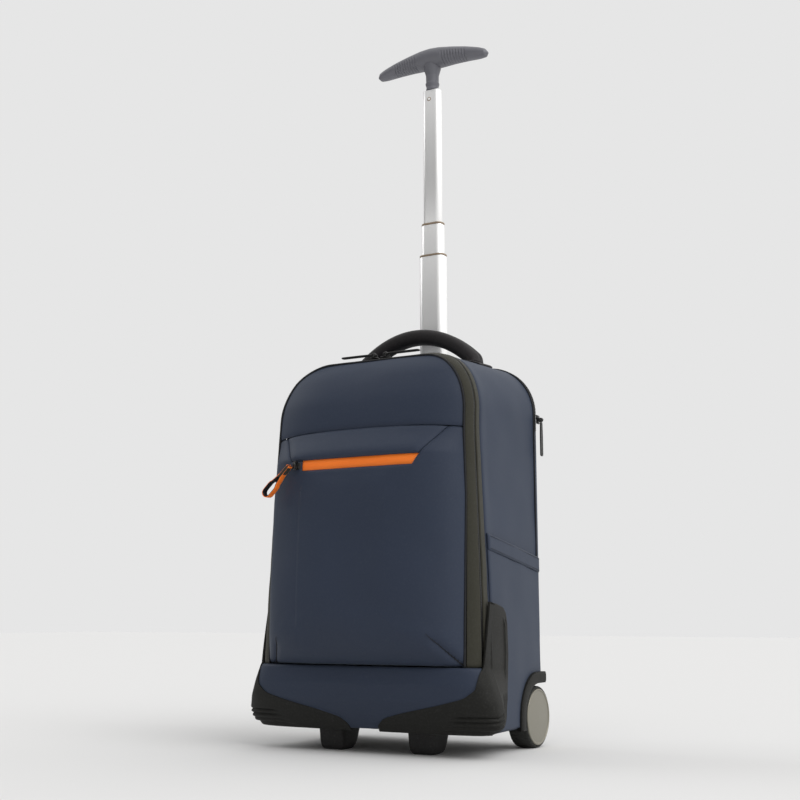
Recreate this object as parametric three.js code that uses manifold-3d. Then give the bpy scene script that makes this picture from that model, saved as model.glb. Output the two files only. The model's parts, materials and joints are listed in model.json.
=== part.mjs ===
// A soft wheeled backpack with a telescopic handle. Millimetres, +Z up, the bag's front faces -Y.
// The pieces are worked out from the toe, where y is 0, and the whole is centred on its footprint last.
import * as THREE from 'three';
import { mergeVertices } from 'three/addons/utils/BufferGeometryUtils.js';
import Module from 'manifold-3d';

const wasm = await Module();
wasm.setup();

// Driving sizes
const bagHeight = 497;
const beyond = 2 * bagHeight;
const bagHalfWidth = 147;
const backPlane = 198;
const baseUnderside = 30.5;
const clothWall = 3;
const padWall = 4;
const gap = 0.3;
const backCrown = 4;
const backPanelDepth = 8;
const hemHeight = 106;

// Rounded top of the front panel, of the gusset and of the back
const frontArch = { inset: 9.5, cornerWide: 66, cornerTall: 78, topDrop: 5 };
const gussetArch = { cornerWide: 72, cornerTall: 82 };
const backArch = { cornerWide: 67, cornerTall: 66, topRise: 4 };
const edgeRound = 5;

// Half width of the body up its height: shares of the bag's height and half width
const bodyFlare = [
  { height: 0.05, reach: 1.065 },
  { height: hemHeight / bagHeight, reach: 1.067 },
  { height: 0.35, reach: 1.053 },
  { height: 0.47, reach: 1.035 },
  { height: 0.64, reach: 1.007 },
  { height: 0.79, reach: 0.983 },
  { height: 1.0, reach: 0.983 },
];

// How far back the front panel's edge leans up its height, and how deep the gusset is there
const topLean = 21;
const gussetDepth = 33;
const frontLean = [
  { height: hemHeight / bagHeight, back: -0.62, deep: 1 },
  { height: 0.47, back: -0.4, deep: 0.94 },
  { height: 0.79, back: -0.095, deep: 0.73 },
  { height: 0.88, back: 0.07, deep: 0.73 },
  { height: 0.95, back: 0.38, deep: 0.79 },
  { height: 1.0, back: 1, deep: 0.85 },
];

// Front pads: how far they stand in front of their edge
const seamHeight = bagHeight - 104;
const seamBow = 4.5;
const topPadRise = 22;
const pocketRise = 38;
const pocketPlateau = 4;
const hemRoll = 46;
const hemStart = 0.24;
const yokeFoot = seamHeight - 34;
const yokeTopHalf = 124;
const yokeFootHalf = 92;
const flashFoot = yokeFoot - 13;
const flashInset = 18;
const flashSlant = 8;
const flashRecess = 4;

// Toe wedge and the moulded guards on its corners: shares of the hem's height and the half width
const toeTurn = 15;
const toeReach = 26.5;
const toePlan = [
  { height: 0.25, reach: 1.07, front: 0.15 },
  { height: 0.29, reach: 1.13, front: 0.3 },
  { height: 0.34, reach: 1.185, front: 0.45 },
  { height: 0.45, reach: 1.2, front: 0.68 },
  { height: 0.62, reach: 1.175, front: 0.91 },
  { height: 0.8, reach: 1.13, front: 1 },
  { height: 1.0, reach: 1.078, front: 0.925 },
];
const toeEdge = [
  { out: 0.13, height: 0.25 },
  { out: 0.14, height: 0.33 },
  { out: 0.21, height: 0.41 },
  { out: 0.39, height: 0.48 },
  { out: 0.73, height: 0.58 },
  { out: 0.95, height: 0.66 },
  { out: 1.045, height: 0.76 },
  { out: 1.065, height: 0.93 },
  { out: 1.078, height: 1.0 },
];
const guardWall = 2.6;
const guardProud = 1.6;
const guardTop = 182;
const guardLength = 68;
const guardFoot = baseUnderside - 4;
const guardFrontFoot = -3;
const guardFrontTop = 13;
const guardSide = [
  { along: 0.24, low: 0.15, high: 1.0 },
  { along: 0.52, low: 0.24, high: 0.99 },
  { along: 0.82, low: 0.37, high: 0.965 },
  { along: 0.94, low: 0.5, high: 0.93 },
  { along: 1.0, low: 0.66, high: 0.86 },
];

// Feet
const footOffset = 64;
const footStart = 13;
const footHalf = 19;
const footLength = 49;
const footSides = 12;
const footRows = [
  { height: 0, half: 0.71, start: 0.16, end: 0.67 },
  { height: 0.16, half: 0.92, start: 0.08, end: 0.78 },
  { height: 1, half: 1, start: 0, end: 1 },
];

// Wheels and their housings
const wheelRadius = 38.5;
const wheelWidth = 27.5;
const wheelFace = bagHalfWidth + 8.7;
const axleBack = backPlane - 33.8;
const axleRadius = 5;
const axleClear = 0.45;
const tread = 1.2;
const capRadius = wheelRadius - 3.5;
const capDepth = 2.2;
const coreRadius = capRadius - 4;
const wheelWell = wheelRadius + 3.5;
const wellWall = 2.5;
const flangeWidth = 14;
const flangeDepth = 2.3;
const housingFoot = baseUnderside - 6;
const housingEnd = backPlane - 12;
const cheekWall = 3;
const wheelSideClear = 1.6;

// Side pockets
const pocketWall = 1.5;
const pocketTopFront = 268;
const pocketTopBack = 240;
const hemBand = 20;
const hemBandWall = 1.4;

// Zips, sliders and pulls
const zipWidth = 3.4;
const pullLength = 50;
const pullWidth = 7.5;
const pullThick = 2.2;
const eyeRadius = 2.4;
const eyeBore = 1.35;
const pinRadius = 0.9;
const earWall = 1.2;
const sliderLength = 13;
const sliderBase = 2.4;
const pinLift = 5.8;
const topPullSpread = 9;
const topPullSide = -4;
const sliderSeat = 0.4;
const earHalf = 2;
const rearZipWidth = 6.6;
const rearZipWall = 1.4;
const webWall = 1.7;
const webWidth = 10;
const loopRadius = 10.5;
const webLength = 23;
const webTurn = 2.2;

// Carry handle
const carryHalf = 90;
const carryRise = 44;
const carryArch = 1.8;
const carryThick = 21;
const carryDepth = 27;
const carryAhead = 47;
const anchorDepth = 2.4;
const anchorSink = 30;

// Telescopic handle
const tubeBack = backPlane - 22;
const carryBack = tubeBack - carryAhead;
const tubeWide = 39;
const tubeDeep = 22;
const tubeSideClear = 1.6;
const tubeFaceClear = 0.4;
const tubeStages = [
  { name: 'outer', wall: 1.4, shows: 170, spare: 57 },
  { name: 'middle', wall: 1.3, shows: 47, spare: 67 },
  { name: 'inner', wall: 1.2, shows: 202, spare: 77 },
];
const tubeCorner = 0.42;
const plugDepth = 22;
const rimHeight = 2.6;
const sleeveClear = 1;
const sleeveWall = 1.6;
const sleeveFoot = baseUnderside + 15.5;
const collarBorder = 7;
const collarHeight = 6;
const collarCorner = 9;
const rivetRadius = 2.6;
const rivetProud = 0.1;
const rivetSides = 12;
const rivetSide = -2;
const rivetDrop = 14;

// Grip: half sizes and droop as shares of the middle section's, and the neck below it
const gripHalf = 90;
const gripTall = 15;
const gripDeep = 17;
const gripDroop = 10.8;
const gripRise = 50.5;
const gripRows = [
  { out: 0, tall: 1, deep: 1, drop: 0 },
  { out: 0.16, tall: 0.97, deep: 0.98, drop: 0.05 },
  { out: 0.4, tall: 0.83, deep: 0.85, drop: 0.2 },
  { out: 0.65, tall: 0.69, deep: 0.71, drop: 0.46 },
  { out: 0.86, tall: 0.55, deep: 0.55, drop: 0.78 },
  { out: 0.96, tall: 0.4, deep: 0.41, drop: 0.93 },
  { out: 1, tall: 0.16, deep: 0.18, drop: 1 },
];
const neckRadius = 12.5;
const neckRows = [
  { radius: 0.58, up: 0 },
  { radius: 0.75, up: 0.03 },
  { radius: 0.69, up: 0.12 },
  { radius: 0.78, up: 0.2 },
  { radius: 0.82, up: 0.25 },
  { radius: 0.74, up: 0.3 },
  { radius: 0.76, up: 0.55 },
  { radius: 1, up: 0.8 },
  { radius: 0.96, up: 1 },
];

const materials = {
  navy: { color: 0x3e4653, roughness: 0.55, metalness: 0 },
  black: { color: 0x3f403c, roughness: 0.7, metalness: 0 },
  moulded: { color: 0x2c2d2b, roughness: 0.6, metalness: 0 },
  orange: { color: 0xe8742f, roughness: 0.6, metalness: 0 },
  trim: { color: 0x222222, roughness: 0.45, metalness: 0.2 },
  tube: { color: 0xc9c8be, roughness: 0.35, metalness: 0.9 },
  grip: { color: 0x55565a, roughness: 0.5, metalness: 0 },
  wheel: { color: 0x8f9080, roughness: 0.4, metalness: 0.7 },
  tyre: { color: 0x2a2b29, roughness: 0.8, metalness: 0 },
};

const bag = new THREE.Group();
const lerp = THREE.MathUtils.lerp;

// A value read from a table at a share of its first column
function read(table, key, share, column) {
  if (share <= table[0][key]) return table[0][column];
  for (let i = 1; i < table.length; i += 1) {
    if (share <= table[i][key]) {
      const t = (share - table[i - 1][key]) / (table[i][key] - table[i - 1][key]);
      return lerp(table[i - 1][column], table[i][column], t);
    }
  }
  return table[table.length - 1][column];
}

function add(name, geometry, look) {
  const mesh = new THREE.Mesh(geometry, new THREE.MeshStandardMaterial(materials[look]));
  mesh.name = name;
  bag.add(mesh);
  return mesh;
}

// Closed solids from functions of two shares
function closed(positions, index) {
  const geometry = new THREE.BufferGeometry();
  geometry.setAttribute('position', new THREE.Float32BufferAttribute(positions, 3));
  let volume = 0;
  const p = (i) => new THREE.Vector3().fromArray(positions, 3 * i);
  for (let i = 0; i < index.length; i += 3) {
    volume += p(index[i]).dot(p(index[i + 1]).cross(p(index[i + 2])));
  }
  if (volume < 0) index.reverse();
  geometry.setIndex(index);
  return geometry;
}

function panel(outer, inner, across, up) {
  const positions = [];
  const index = [];
  const at = (side, i, j) => (side * (across + 1) + i) * (up + 1) + j;
  const quad = (a, b, c, d) => index.push(a, b, c, a, c, d);
  for (const face of [outer, inner]) {
    for (let i = 0; i <= across; i += 1) {
      for (let j = 0; j <= up; j += 1) positions.push(...face(i / across, j / up).toArray());
    }
  }
  for (let i = 0; i < across; i += 1) {
    for (let j = 0; j < up; j += 1) {
      quad(at(0, i, j), at(0, i + 1, j), at(0, i + 1, j + 1), at(0, i, j + 1));
      quad(at(1, i, j), at(1, i, j + 1), at(1, i + 1, j + 1), at(1, i + 1, j));
    }
    quad(at(0, i, 0), at(1, i, 0), at(1, i + 1, 0), at(0, i + 1, 0));
    quad(at(0, i, up), at(0, i + 1, up), at(1, i + 1, up), at(1, i, up));
  }
  for (let j = 0; j < up; j += 1) {
    quad(at(0, 0, j), at(0, 0, j + 1), at(1, 0, j + 1), at(1, 0, j));
    quad(at(0, across, j), at(1, across, j), at(1, across, j + 1), at(0, across, j + 1));
  }
  return closed(positions, index);
}

// A bar of rings along a path, closed by a fan at each end
function bar(ring, rings, sides) {
  const positions = [];
  const index = [];
  for (let i = 0; i <= rings; i += 1) {
    for (let j = 0; j < sides; j += 1) {
      positions.push(...ring(i / rings, (2 * Math.PI * j) / sides).toArray());
    }
  }
  for (let i = 0; i < rings; i += 1) {
    for (let j = 0; j < sides; j += 1) {
      const k = (j + 1) % sides;
      const a = i * sides;
      index.push(a + j, a + sides + j, a + sides + k, a + j, a + sides + k, a + k);
    }
  }
  const last = rings * sides;
  for (let j = 1; j < sides - 1; j += 1) {
    index.push(0, j, j + 1, last, last + j + 1, last + j);
  }
  return closed(positions, index);
}

// Joining and cutting
function solid(geometry) {
  const bare = geometry.clone();
  for (const name of ['normal', 'uv']) bare.deleteAttribute(name);
  const merged = mergeVertices(bare, 1e-4);
  const vertProperties = Float32Array.from(merged.attributes.position.array);
  const triVerts = Uint32Array.from(merged.index.array);
  return new wasm.Manifold(new wasm.Mesh({ numProp: 3, vertProperties, triVerts }));
}

function shape(body) {
  const mesh = body.getMesh();
  const geometry = new THREE.BufferGeometry();
  geometry.setAttribute('position', new THREE.Float32BufferAttribute(mesh.vertProperties, 3));
  geometry.setIndex(Array.from(mesh.triVerts));
  return geometry;
}

function block(x0, x1, y0, y1, z0, z1) {
  const box = new THREE.BoxGeometry(x1 - x0, y1 - y0, z1 - z0);
  return box.translate((x0 + x1) / 2, (y0 + y1) / 2, (z0 + z1) / 2);
}

// An outline drawn on the plane across an axis and extruded along it
const unit = (x, y, z) => new THREE.Vector3(x, y, z);
const turns = {
  x: new THREE.Matrix4().makeBasis(unit(0, 1, 0), unit(0, 0, 1), unit(1, 0, 0)),
  y: new THREE.Matrix4().makeBasis(unit(1, 0, 0), unit(0, 0, 1), unit(0, -1, 0)),
  z: new THREE.Matrix4(),
};

function prism(outline, axis, from, to, curveSegments = 12) {
  const options = { depth: to - from, bevelEnabled: false, curveSegments };
  const geometry = new THREE.ExtrudeGeometry(outline, options).applyMatrix4(turns[axis]);
  const start = { x: [from, 0, 0], y: [0, to, 0], z: [0, 0, from] }[axis];
  return geometry.translate(...start);
}

function polygon(points) {
  return new THREE.Shape(points.map((p) => new THREE.Vector2(...p)));
}

function roundedBox(wide, deep, corner, cx = 0, cy = 0) {
  const outline = new THREE.Shape();
  const a = wide / 2;
  const b = deep / 2;
  outline.moveTo(cx - a + corner, cy - b);
  outline.lineTo(cx + a - corner, cy - b);
  outline.absarc(cx + a - corner, cy - b + corner, corner, -Math.PI / 2, 0);
  outline.lineTo(cx + a, cy + b - corner);
  outline.absarc(cx + a - corner, cy + b - corner, corner, 0, Math.PI / 2);
  outline.lineTo(cx - a + corner, cy + b);
  outline.absarc(cx - a + corner, cy + b - corner, corner, Math.PI / 2, Math.PI);
  outline.lineTo(cx - a, cy - b + corner);
  outline.absarc(cx - a + corner, cy - b + corner, corner, Math.PI, 1.5 * Math.PI);
  return outline;
}

function lathe(rows, axis, segments = 32) {
  const profile = rows.map((row) => new THREE.Vector2(row[0], row[1]));
  const geometry = new THREE.LatheGeometry(profile, segments);
  return axis === 'x' ? geometry.rotateZ(-Math.PI / 2) : geometry.rotateX(Math.PI / 2);
}

// The arch of the body: up one side, round a corner, over the top and down the other side.
// The first and last steps are at the foot, below the hem, where only the shell reaches.
const wallHeights = bodyFlare.slice(1, -1).map((row) => row.height * bagHeight);
const cornerSteps = 5;
const topSteps = 4;
const rise = [{ zone: 'foot' }];
for (const height of wallHeights) rise.push({ zone: 'wall', height });
for (let i = 0; i < cornerSteps; i += 1) rise.push({ zone: 'corner', share: i / cornerSteps });
const archSteps = rise.map((step) => ({ ...step, side: -1 }));
for (let i = 0; i <= topSteps; i += 1) {
  archSteps.push({ side: 1, zone: 'top', share: (2 * i) / topSteps - 1 });
}
archSteps.push(...rise.map((step) => ({ ...step, side: 1 })).reverse());
const archCount = archSteps.length - 1;
const hemCount = archCount - 2;

function archPoint(index, arch, grow = 0) {
  const step = archSteps[index];
  const wide = arch.cornerWide + grow;
  const tall = arch.cornerTall + grow;
  const top = arch.top + grow;
  const shoulder = top - tall;
  const halfWidth = (z) => arch.halfWidth(z) + grow;
  if (step.zone === 'foot' || step.zone === 'wall') {
    const z = step.zone === 'foot' ? baseUnderside - clothWall : step.height;
    return new THREE.Vector3(step.side * halfWidth(z), 0, z);
  }
  const run = halfWidth(shoulder) - wide;
  if (step.zone === 'top') return new THREE.Vector3(step.share * run, 0, top);
  const angle = (step.share * Math.PI) / 2;
  return new THREE.Vector3(step.side * (run + wide * Math.cos(angle)), 0, shoulder + tall * Math.sin(angle));
}
const fullIndex = (u) => Math.round(u * archCount);
const hemIndex = (u) => 1 + Math.round(u * hemCount);

const bodyHalf = (z) => bagHalfWidth * read(bodyFlare, 'height', z / bagHeight, 'reach');
const frontHalf = (z) => Math.min(bodyHalf(z) - frontArch.inset, bagHalfWidth * 0.945);
const frontEdge = (z) => topLean * read(frontLean, 'height', z / bagHeight, 'back');
const gussetBack = (z) => frontEdge(z) + gussetDepth * read(frontLean, 'height', z / bagHeight, 'deep');
const frontShape = { ...frontArch, top: bagHeight - frontArch.topDrop, halfWidth: frontHalf };
const gussetShape = { ...gussetArch, top: bagHeight, halfWidth: bodyHalf };
const backShape = { ...backArch, top: bagHeight + backArch.topRise, halfWidth: () => bagHalfWidth };

// Gusset: two strips and the zip between them, on a section that turns from the front to the side
const gussetSection = [
  { along: 0, out: 0.04, back: 0 },
  { along: 0.25, out: 0.5, back: 0.12 },
  { along: 0.5, out: 0.85, back: 0.3 },
  { along: 0.75, out: 1, back: 0.48 },
  { along: 1, out: 1, back: 1 },
];
const zipAlong = 0.7;
function gussetPoint(index, along, depth) {
  const front = archPoint(index, frontShape, gap);
  const side = archPoint(index, gussetShape, -depth);
  const out = read(gussetSection, 'along', along, 'out');
  const point = front.lerp(side, out);
  const z = archPoint(index, gussetShape).z;
  const deep = gussetBack(z) - frontEdge(z);
  point.y = frontEdge(z) + deep * read(gussetSection, 'along', along, 'back') + depth * (1 - out);
  return point;
}

function gussetStrip(from, to, up, wall) {
  const face = (depth) => (u, v) => gussetPoint(hemIndex(u), lerp(from, to, v), depth);
  return panel(face(0), face(wall), hemCount, up);
}

function addGusset() {
  const zipShare = zipWidth / 60;
  const seam = 0.012;
  add('gusset_front', gussetStrip(0, zipAlong - zipShare - seam, 3, clothWall), 'black');
  add('main_zip', gussetStrip(zipAlong - zipShare, zipAlong + zipShare, 1, clothWall * 0.6), 'trim');
  add('gusset_rear', gussetStrip(zipAlong + zipShare + seam, 1 - seam, 2, clothWall), 'black');
}

// Side and top shell, from the gusset back to the rear panel
const shellRows = [
  { run: 0, inset: 0 },
  { run: 0.25, inset: 0 },
  { run: 0.5, inset: 0 },
  { run: 0.75, inset: 0 },
  { run: 0.94, inset: 0 },
  { run: 0.985, inset: 0.25 },
  { run: 1, inset: 1 },
];
const shellSteps = shellRows.length - 1;
function shellPoint(index, run, grow) {
  const front = archPoint(index, gussetShape, grow);
  const back = archPoint(index, backShape, grow);
  const start = gussetBack(archPoint(index, gussetShape).z) + gap;
  const point = front.lerp(back, run);
  point.y = lerp(start, backPlane, run);
  return point;
}

function shellSurface(grow) {
  return (u, v) => {
    const row = shellRows[Math.round(v * shellSteps)];
    return shellPoint(fullIndex(u), row.run, grow - row.inset * edgeRound);
  };
}

// How far along the shell a depth is at a height, and the shell's half width there
function shellRunAt(y, z) {
  const start = gussetBack(z) + gap;
  return THREE.MathUtils.clamp((y - start) / (backPlane - start), 0, 1);
}

function shellReach(y, z) {
  return lerp(bodyHalf(z), bagHalfWidth, shellRunAt(y, z));
}

// Wheel arch outline on the side view, at a radius round the axle
function archOutline(radius, foot, end) {
  const outline = new THREE.Shape();
  outline.moveTo(axleBack - radius, foot);
  outline.lineTo(axleBack - radius, wheelRadius);
  outline.absarc(axleBack, wheelRadius, radius, Math.PI, Math.PI / 2, true);
  outline.lineTo(end, wheelRadius + radius);
  return outline;
}

function archCut(radius) {
  const outline = archOutline(radius, 0, backPlane + 60);
  outline.lineTo(backPlane + 60, 0);
  return prism(outline, 'x', -2 * bagHalfWidth, 2 * bagHalfWidth, 8);
}

function archBand(inner, outer, from, to) {
  const outline = archOutline(outer, housingFoot, housingEnd);
  outline.lineTo(housingEnd, wheelRadius + inner);
  outline.lineTo(axleBack, wheelRadius + inner);
  outline.absarc(axleBack, wheelRadius, inner, Math.PI / 2, Math.PI, false);
  outline.lineTo(axleBack - inner, housingFoot);
  return prism(outline, 'x', from, to, 8);
}

const wellCut = wheelWell + wellWall + gap;
const housingTop = wheelRadius + wheelWell + wellWall;
const cheekInner = wheelFace - wheelWidth - wheelSideClear - cheekWall;

function addShell() {
  const ring = solid(panel(shellSurface(0), shellSurface(-clothWall), archCount, shellSteps));
  const around = 2 * (sleeveClear + sleeveWall + gap);
  const outline = roundedBox(tubeWide + around, tubeDeep + around, tubeDeep * tubeCorner, 0, tubeBack);
  const slot = prism(outline, 'z', bagHeight / 2, beyond);
  add('side_shell', shape(ring.subtract(solid(archCut(wellCut))).subtract(solid(slot))), 'navy');
}

// Padded back panel inside the shell's rear rim
function addBackPanel() {
  const inset = edgeRound + clothWall + gap;
  const rows = 6;
  const halves = (bulge, flat) => (u, v) => {
    const x = (2 * u - 1) * (bagHalfWidth - inset);
    const z = lerp(baseUnderside + padWall + gap, bagHeight + backArch.topRise - inset, v);
    const round = (1 - (2 * u - 1) ** 6) * (1 - (2 * v - 1) ** 6);
    return new THREE.Vector3(x, flat + bulge * round, z);
  };
  const slab = solid(panel(halves(backCrown, backPlane), halves(0, backPlane - backPanelDepth), rows, rows));
  const rim = archSteps.map((step, i) => archPoint(i, backShape, -inset));
  const outline = prism(polygon(rim.map((p) => [p.x, p.z])), 'y', backPlane / 2, 2 * backPlane);
  const notch = (side) => {
    const a = side * (cheekInner - gap);
    const b = side * beyond;
    return solid(block(Math.min(a, b), Math.max(a, b), 0, 2 * backPlane, 0, housingTop + gap));
  };
  const cut = slab.intersect(solid(outline)).subtract(notch(-1)).subtract(notch(1));
  add('back_panel', shape(cut), 'navy');
}

// Base tray: a plate inside the shell, narrowed between the wheel housings
function addBase() {
  const front = gussetBack(baseUnderside) + gap;
  const wellFront = axleBack - wellCut;
  const inside = (y) => shellReach(y, baseUnderside) - clothWall - 2 * gap;
  const rim = [0.12, 0.7, 1.1, 1.35].map((angle) => toePoint(angle, baseUnderside, -clothWall - 2 * gap));
  const half = [
    ...rim.map((p) => [p.x, p.y]),
    [inside(front), front],
    [inside(wellFront), wellFront],
    [cheekInner - gap, wellFront],
    [cheekInner - gap, backPlane - backPanelDepth - gap],
  ];
  const outline = polygon([...half, ...half.map((p) => [-p[0], p[1]]).reverse()]);
  add('base_tray', prism(outline, 'z', baseUnderside, baseUnderside + padWall), 'moulded');
}

// Front pads: y is the depth of their face at a place on the front view
function crown(share, power, fall) {
  return Math.max(0, 1 - Math.abs(share) ** power) ** fall;
}

function frontWidthAt(z) {
  const shoulder = frontShape.top - frontShape.cornerTall;
  if (z <= shoulder) return frontHalf(z);
  const t = Math.min(1, (z - shoulder) / frontShape.cornerTall);
  return frontHalf(shoulder) - frontShape.cornerWide * (1 - Math.sqrt(1 - t * t));
}

function seamAt(x) {
  return seamHeight + seamBow * (1 - (x / frontHalf(seamHeight)) ** 2);
}

function topFace(x, z) {
  const up = THREE.MathUtils.clamp((z - seamHeight) / (frontShape.top - seamHeight), 0, 1);
  const wide = frontWidthAt(z);
  return frontEdge(z) - topPadRise * crown(Math.min(1, Math.abs(x) / wide), 4, 0.8) * crown(up, 2.6, 0.8);
}

function pocketFace(x, z) {
  const wide = frontHalf(z);
  const side = Math.min(1, Math.abs(x) / wide);
  const seamRise = topPadRise * crown(side, 4, 0.8);
  const middleRise = pocketRise + pocketPlateau * crown((z - seamHeight / 2) / seamHeight, 2, 1);
  const full = middleRise * crown(side, 5, 0.75);
  const down = THREE.MathUtils.clamp((seamAt(x) - z) / (seamHeight - yokeFoot), 0, 1);
  const roll = THREE.MathUtils.clamp((z - hemHeight) / hemRoll, 0, 1);
  const hem = hemStart + (1 - hemStart) * (1 - (1 - roll) ** 2.4);
  return frontEdge(z) - lerp(seamRise, full, down) * hem;
}

// The outline inside the gusset's front edge
function frontWindow() {
  const edge = [];
  for (let i = 1; i < archCount; i += 1) edge.push(archPoint(i, frontShape, -gap / 2));
  return solid(prism(polygon(edge.map((p) => [p.x, p.z])), 'y', -bagHalfWidth, bagHalfWidth));
}

function addTopPanel() {
  const reach = (v) => lerp(seamHeight, frontShape.top, v);
  const face = (depth) => (u, v) => {
    const z = reach(v ** 0.8);
    const x = Math.sin(((2 * u - 1) * Math.PI) / 2) * frontWidthAt(z);
    const low = seamAt(x) + gap + (z - seamHeight) * (1 - seamBow / (frontShape.top - seamHeight));
    return new THREE.Vector3(x, topFace(x, z) + depth, v === 0 ? seamAt(x) + gap : Math.max(low, z));
  };
  const whole = solid(panel(face(0), face(padWall), 12, 7));
  add('top_panel', shape(whole.intersect(frontWindow())), 'navy');
}

function addPocket() {
  const face = (depth) => (u, v) => {
    const base = lerp(hemHeight + gap, seamHeight, v);
    const x = Math.sin(((2 * u - 1) * Math.PI) / 2) * (frontHalf(base) - gap);
    const z = lerp(hemHeight + gap, seamAt(x) - gap, v);
    return new THREE.Vector3(x, pocketFace(x, z) + depth, z);
  };
  const whole = solid(panel(face(0), face(padWall), 14, 11));
  const yokeOutline = (grow) => polygon([
    [-yokeTopHalf - grow, seamHeight + 2 * seamBow],
    [-yokeFootHalf - grow, yokeFoot - grow],
    [yokeFootHalf + grow, yokeFoot - grow],
    [yokeTopHalf + grow, seamHeight + 2 * seamBow],
  ]);
  const flashOutline = (grow) => polygon([
    [-yokeFootHalf + flashInset - grow, yokeFoot - gap + grow],
    [-yokeFootHalf + flashInset - grow, flashFoot - grow],
    [yokeFootHalf - flashSlant + grow, flashFoot - grow],
    [yokeFootHalf + grow, yokeFoot - gap + grow],
  ]);
  const yokeTool = (grow) => solid(prism(yokeOutline(grow), 'y', -beyond, beyond));
  const flashTool = (grow) => solid(prism(flashOutline(grow), 'y', -beyond, beyond));
  add('yoke_panel', shape(whole.intersect(yokeTool(0))), 'navy');
  add('pocket_panel', shape(whole.subtract(yokeTool(gap)).subtract(flashTool(gap))), 'navy');
  const recessed = solid(panel(face(flashRecess), face(flashRecess + webWall), 14, 11));
  add('zip_flash', shape(recessed.intersect(flashTool(-gap))), 'orange');
}

// Toe wedge and corner guards on one family of plan curves
function toeRow(z, column) {
  return read(toePlan, 'height', z / hemHeight, column);
}

function toePoint(angle, z, grow) {
  const power = 0.5;
  const reach = bagHalfWidth * toeRow(z, 'reach') + grow;
  const front = -toeReach * toeRow(z, 'front') - grow;
  const x = reach * Math.sign(angle) * Math.abs(Math.sin(angle)) ** power;
  const y = toeTurn - (toeTurn - front) * Math.abs(Math.cos(angle)) ** power;
  return new THREE.Vector3(x, y, z);
}

function toeRegion(grow) {
  const edge = toeEdge.map((row) => [bagHalfWidth * row.out + grow, hemHeight * row.height - grow]);
  const mirrored = edge.map((p) => [-p[0], p[1]]).reverse();
  return polygon([...mirrored, ...edge, [bagHalfWidth * 1.3, beyond], [-bagHalfWidth * 1.3, beyond]]);
}

function addToe() {
  const face = (grow) => (u, v) => {
    const angle = ((2 * u - 1) * Math.PI) / 2;
    const eased = Math.sign(angle) * Math.abs(angle / (Math.PI / 2)) ** 1.6 * (Math.PI / 2) * 0.985;
    return toePoint(eased, lerp(baseUnderside, hemHeight - gap, v), grow);
  };
  const whole = solid(panel(face(0), face(-clothWall), 18, 6));
  const cut = whole.intersect(solid(prism(toeRegion(-gap), 'y', -beyond, beyond)));
  add('toe_panel', shape(cut), 'navy');
}

function addGuards() {
  const turnShare = 0.62;
  const guardReach = (y, z) => shellReach(y, z) + pocketWall + 2 * gap + guardWall;
  const point = (side, depth) => (u, v) => {
    const front = Math.min(1, u / turnShare);
    const past = Math.max(0, (u - turnShare) / (1 - turnShare));
    const along = lerp(toeTurn, guardLength, past) / guardLength;
    const low = past > 0 ? guardTop * read(guardSide, 'along', along, 'low') : guardFoot;
    const high = past > 0 ? guardTop * read(guardSide, 'along', along, 'high') : guardTop;
    const z = lerp(low, high, v ** 1.5);
    const y = along * guardLength;
    const grow = guardProud - depth;
    if (past === 0) {
      const angle = Math.asin(lerp(0.02, 1, front ** 0.7));
      const row = Math.min(z, hemHeight);
      const place = toePoint(angle, row, grow);
      return new THREE.Vector3(side * place.x, place.y, z);
    }
    const corner = bagHalfWidth * toeRow(Math.min(z, hemHeight), 'reach') + grow;
    const rear = guardReach(y, z) - depth;
    const ease = past ** 0.8;
    return new THREE.Vector3(side * Math.max(lerp(corner, rear, ease), rear), y, z);
  };
  for (const [name, side] of [['left', -1], ['right', 1]]) {
    const whole = solid(panel(point(side, 0), point(side, guardWall), 15, 8));
    const window = prism(toeRegion(gap), 'y', -beyond, guardFrontTop);
    const upper = prism(polygon([
      [-beyond, hemHeight],
      [guardFrontFoot, hemHeight],
      [guardFrontTop, guardTop + gap],
      [guardFrontTop, beyond],
      [-beyond, beyond],
    ]), 'x', -beyond, beyond);
    add(`corner_guard_${name}`, shape(whole.subtract(solid(window)).subtract(solid(upper))), 'moulded');
  }
}

// Feet under the tray
function addFeet() {
  for (const [name, side] of [['left', -1], ['right', 1]]) {
    const rings = footRows.length - 1;
    const ring = (v, angle) => {
      const row = footRows[Math.round(v * rings)];
      const turn = angle + Math.PI / footSides;
      const soft = (value) => Math.sign(value) * Math.abs(value) ** 0.35;
      const middle = footLength * (row.start + row.end) / 2;
      const x = side * footOffset + footHalf * row.half * soft(Math.cos(turn));
      const y = footStart + middle + footLength * ((row.end - row.start) / 2) * soft(Math.sin(turn));
      return new THREE.Vector3(x, y, row.height * (baseUnderside - gap));
    };
    add(`foot_${name}`, bar(ring, rings, footSides), 'moulded');
  }
}

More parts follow.
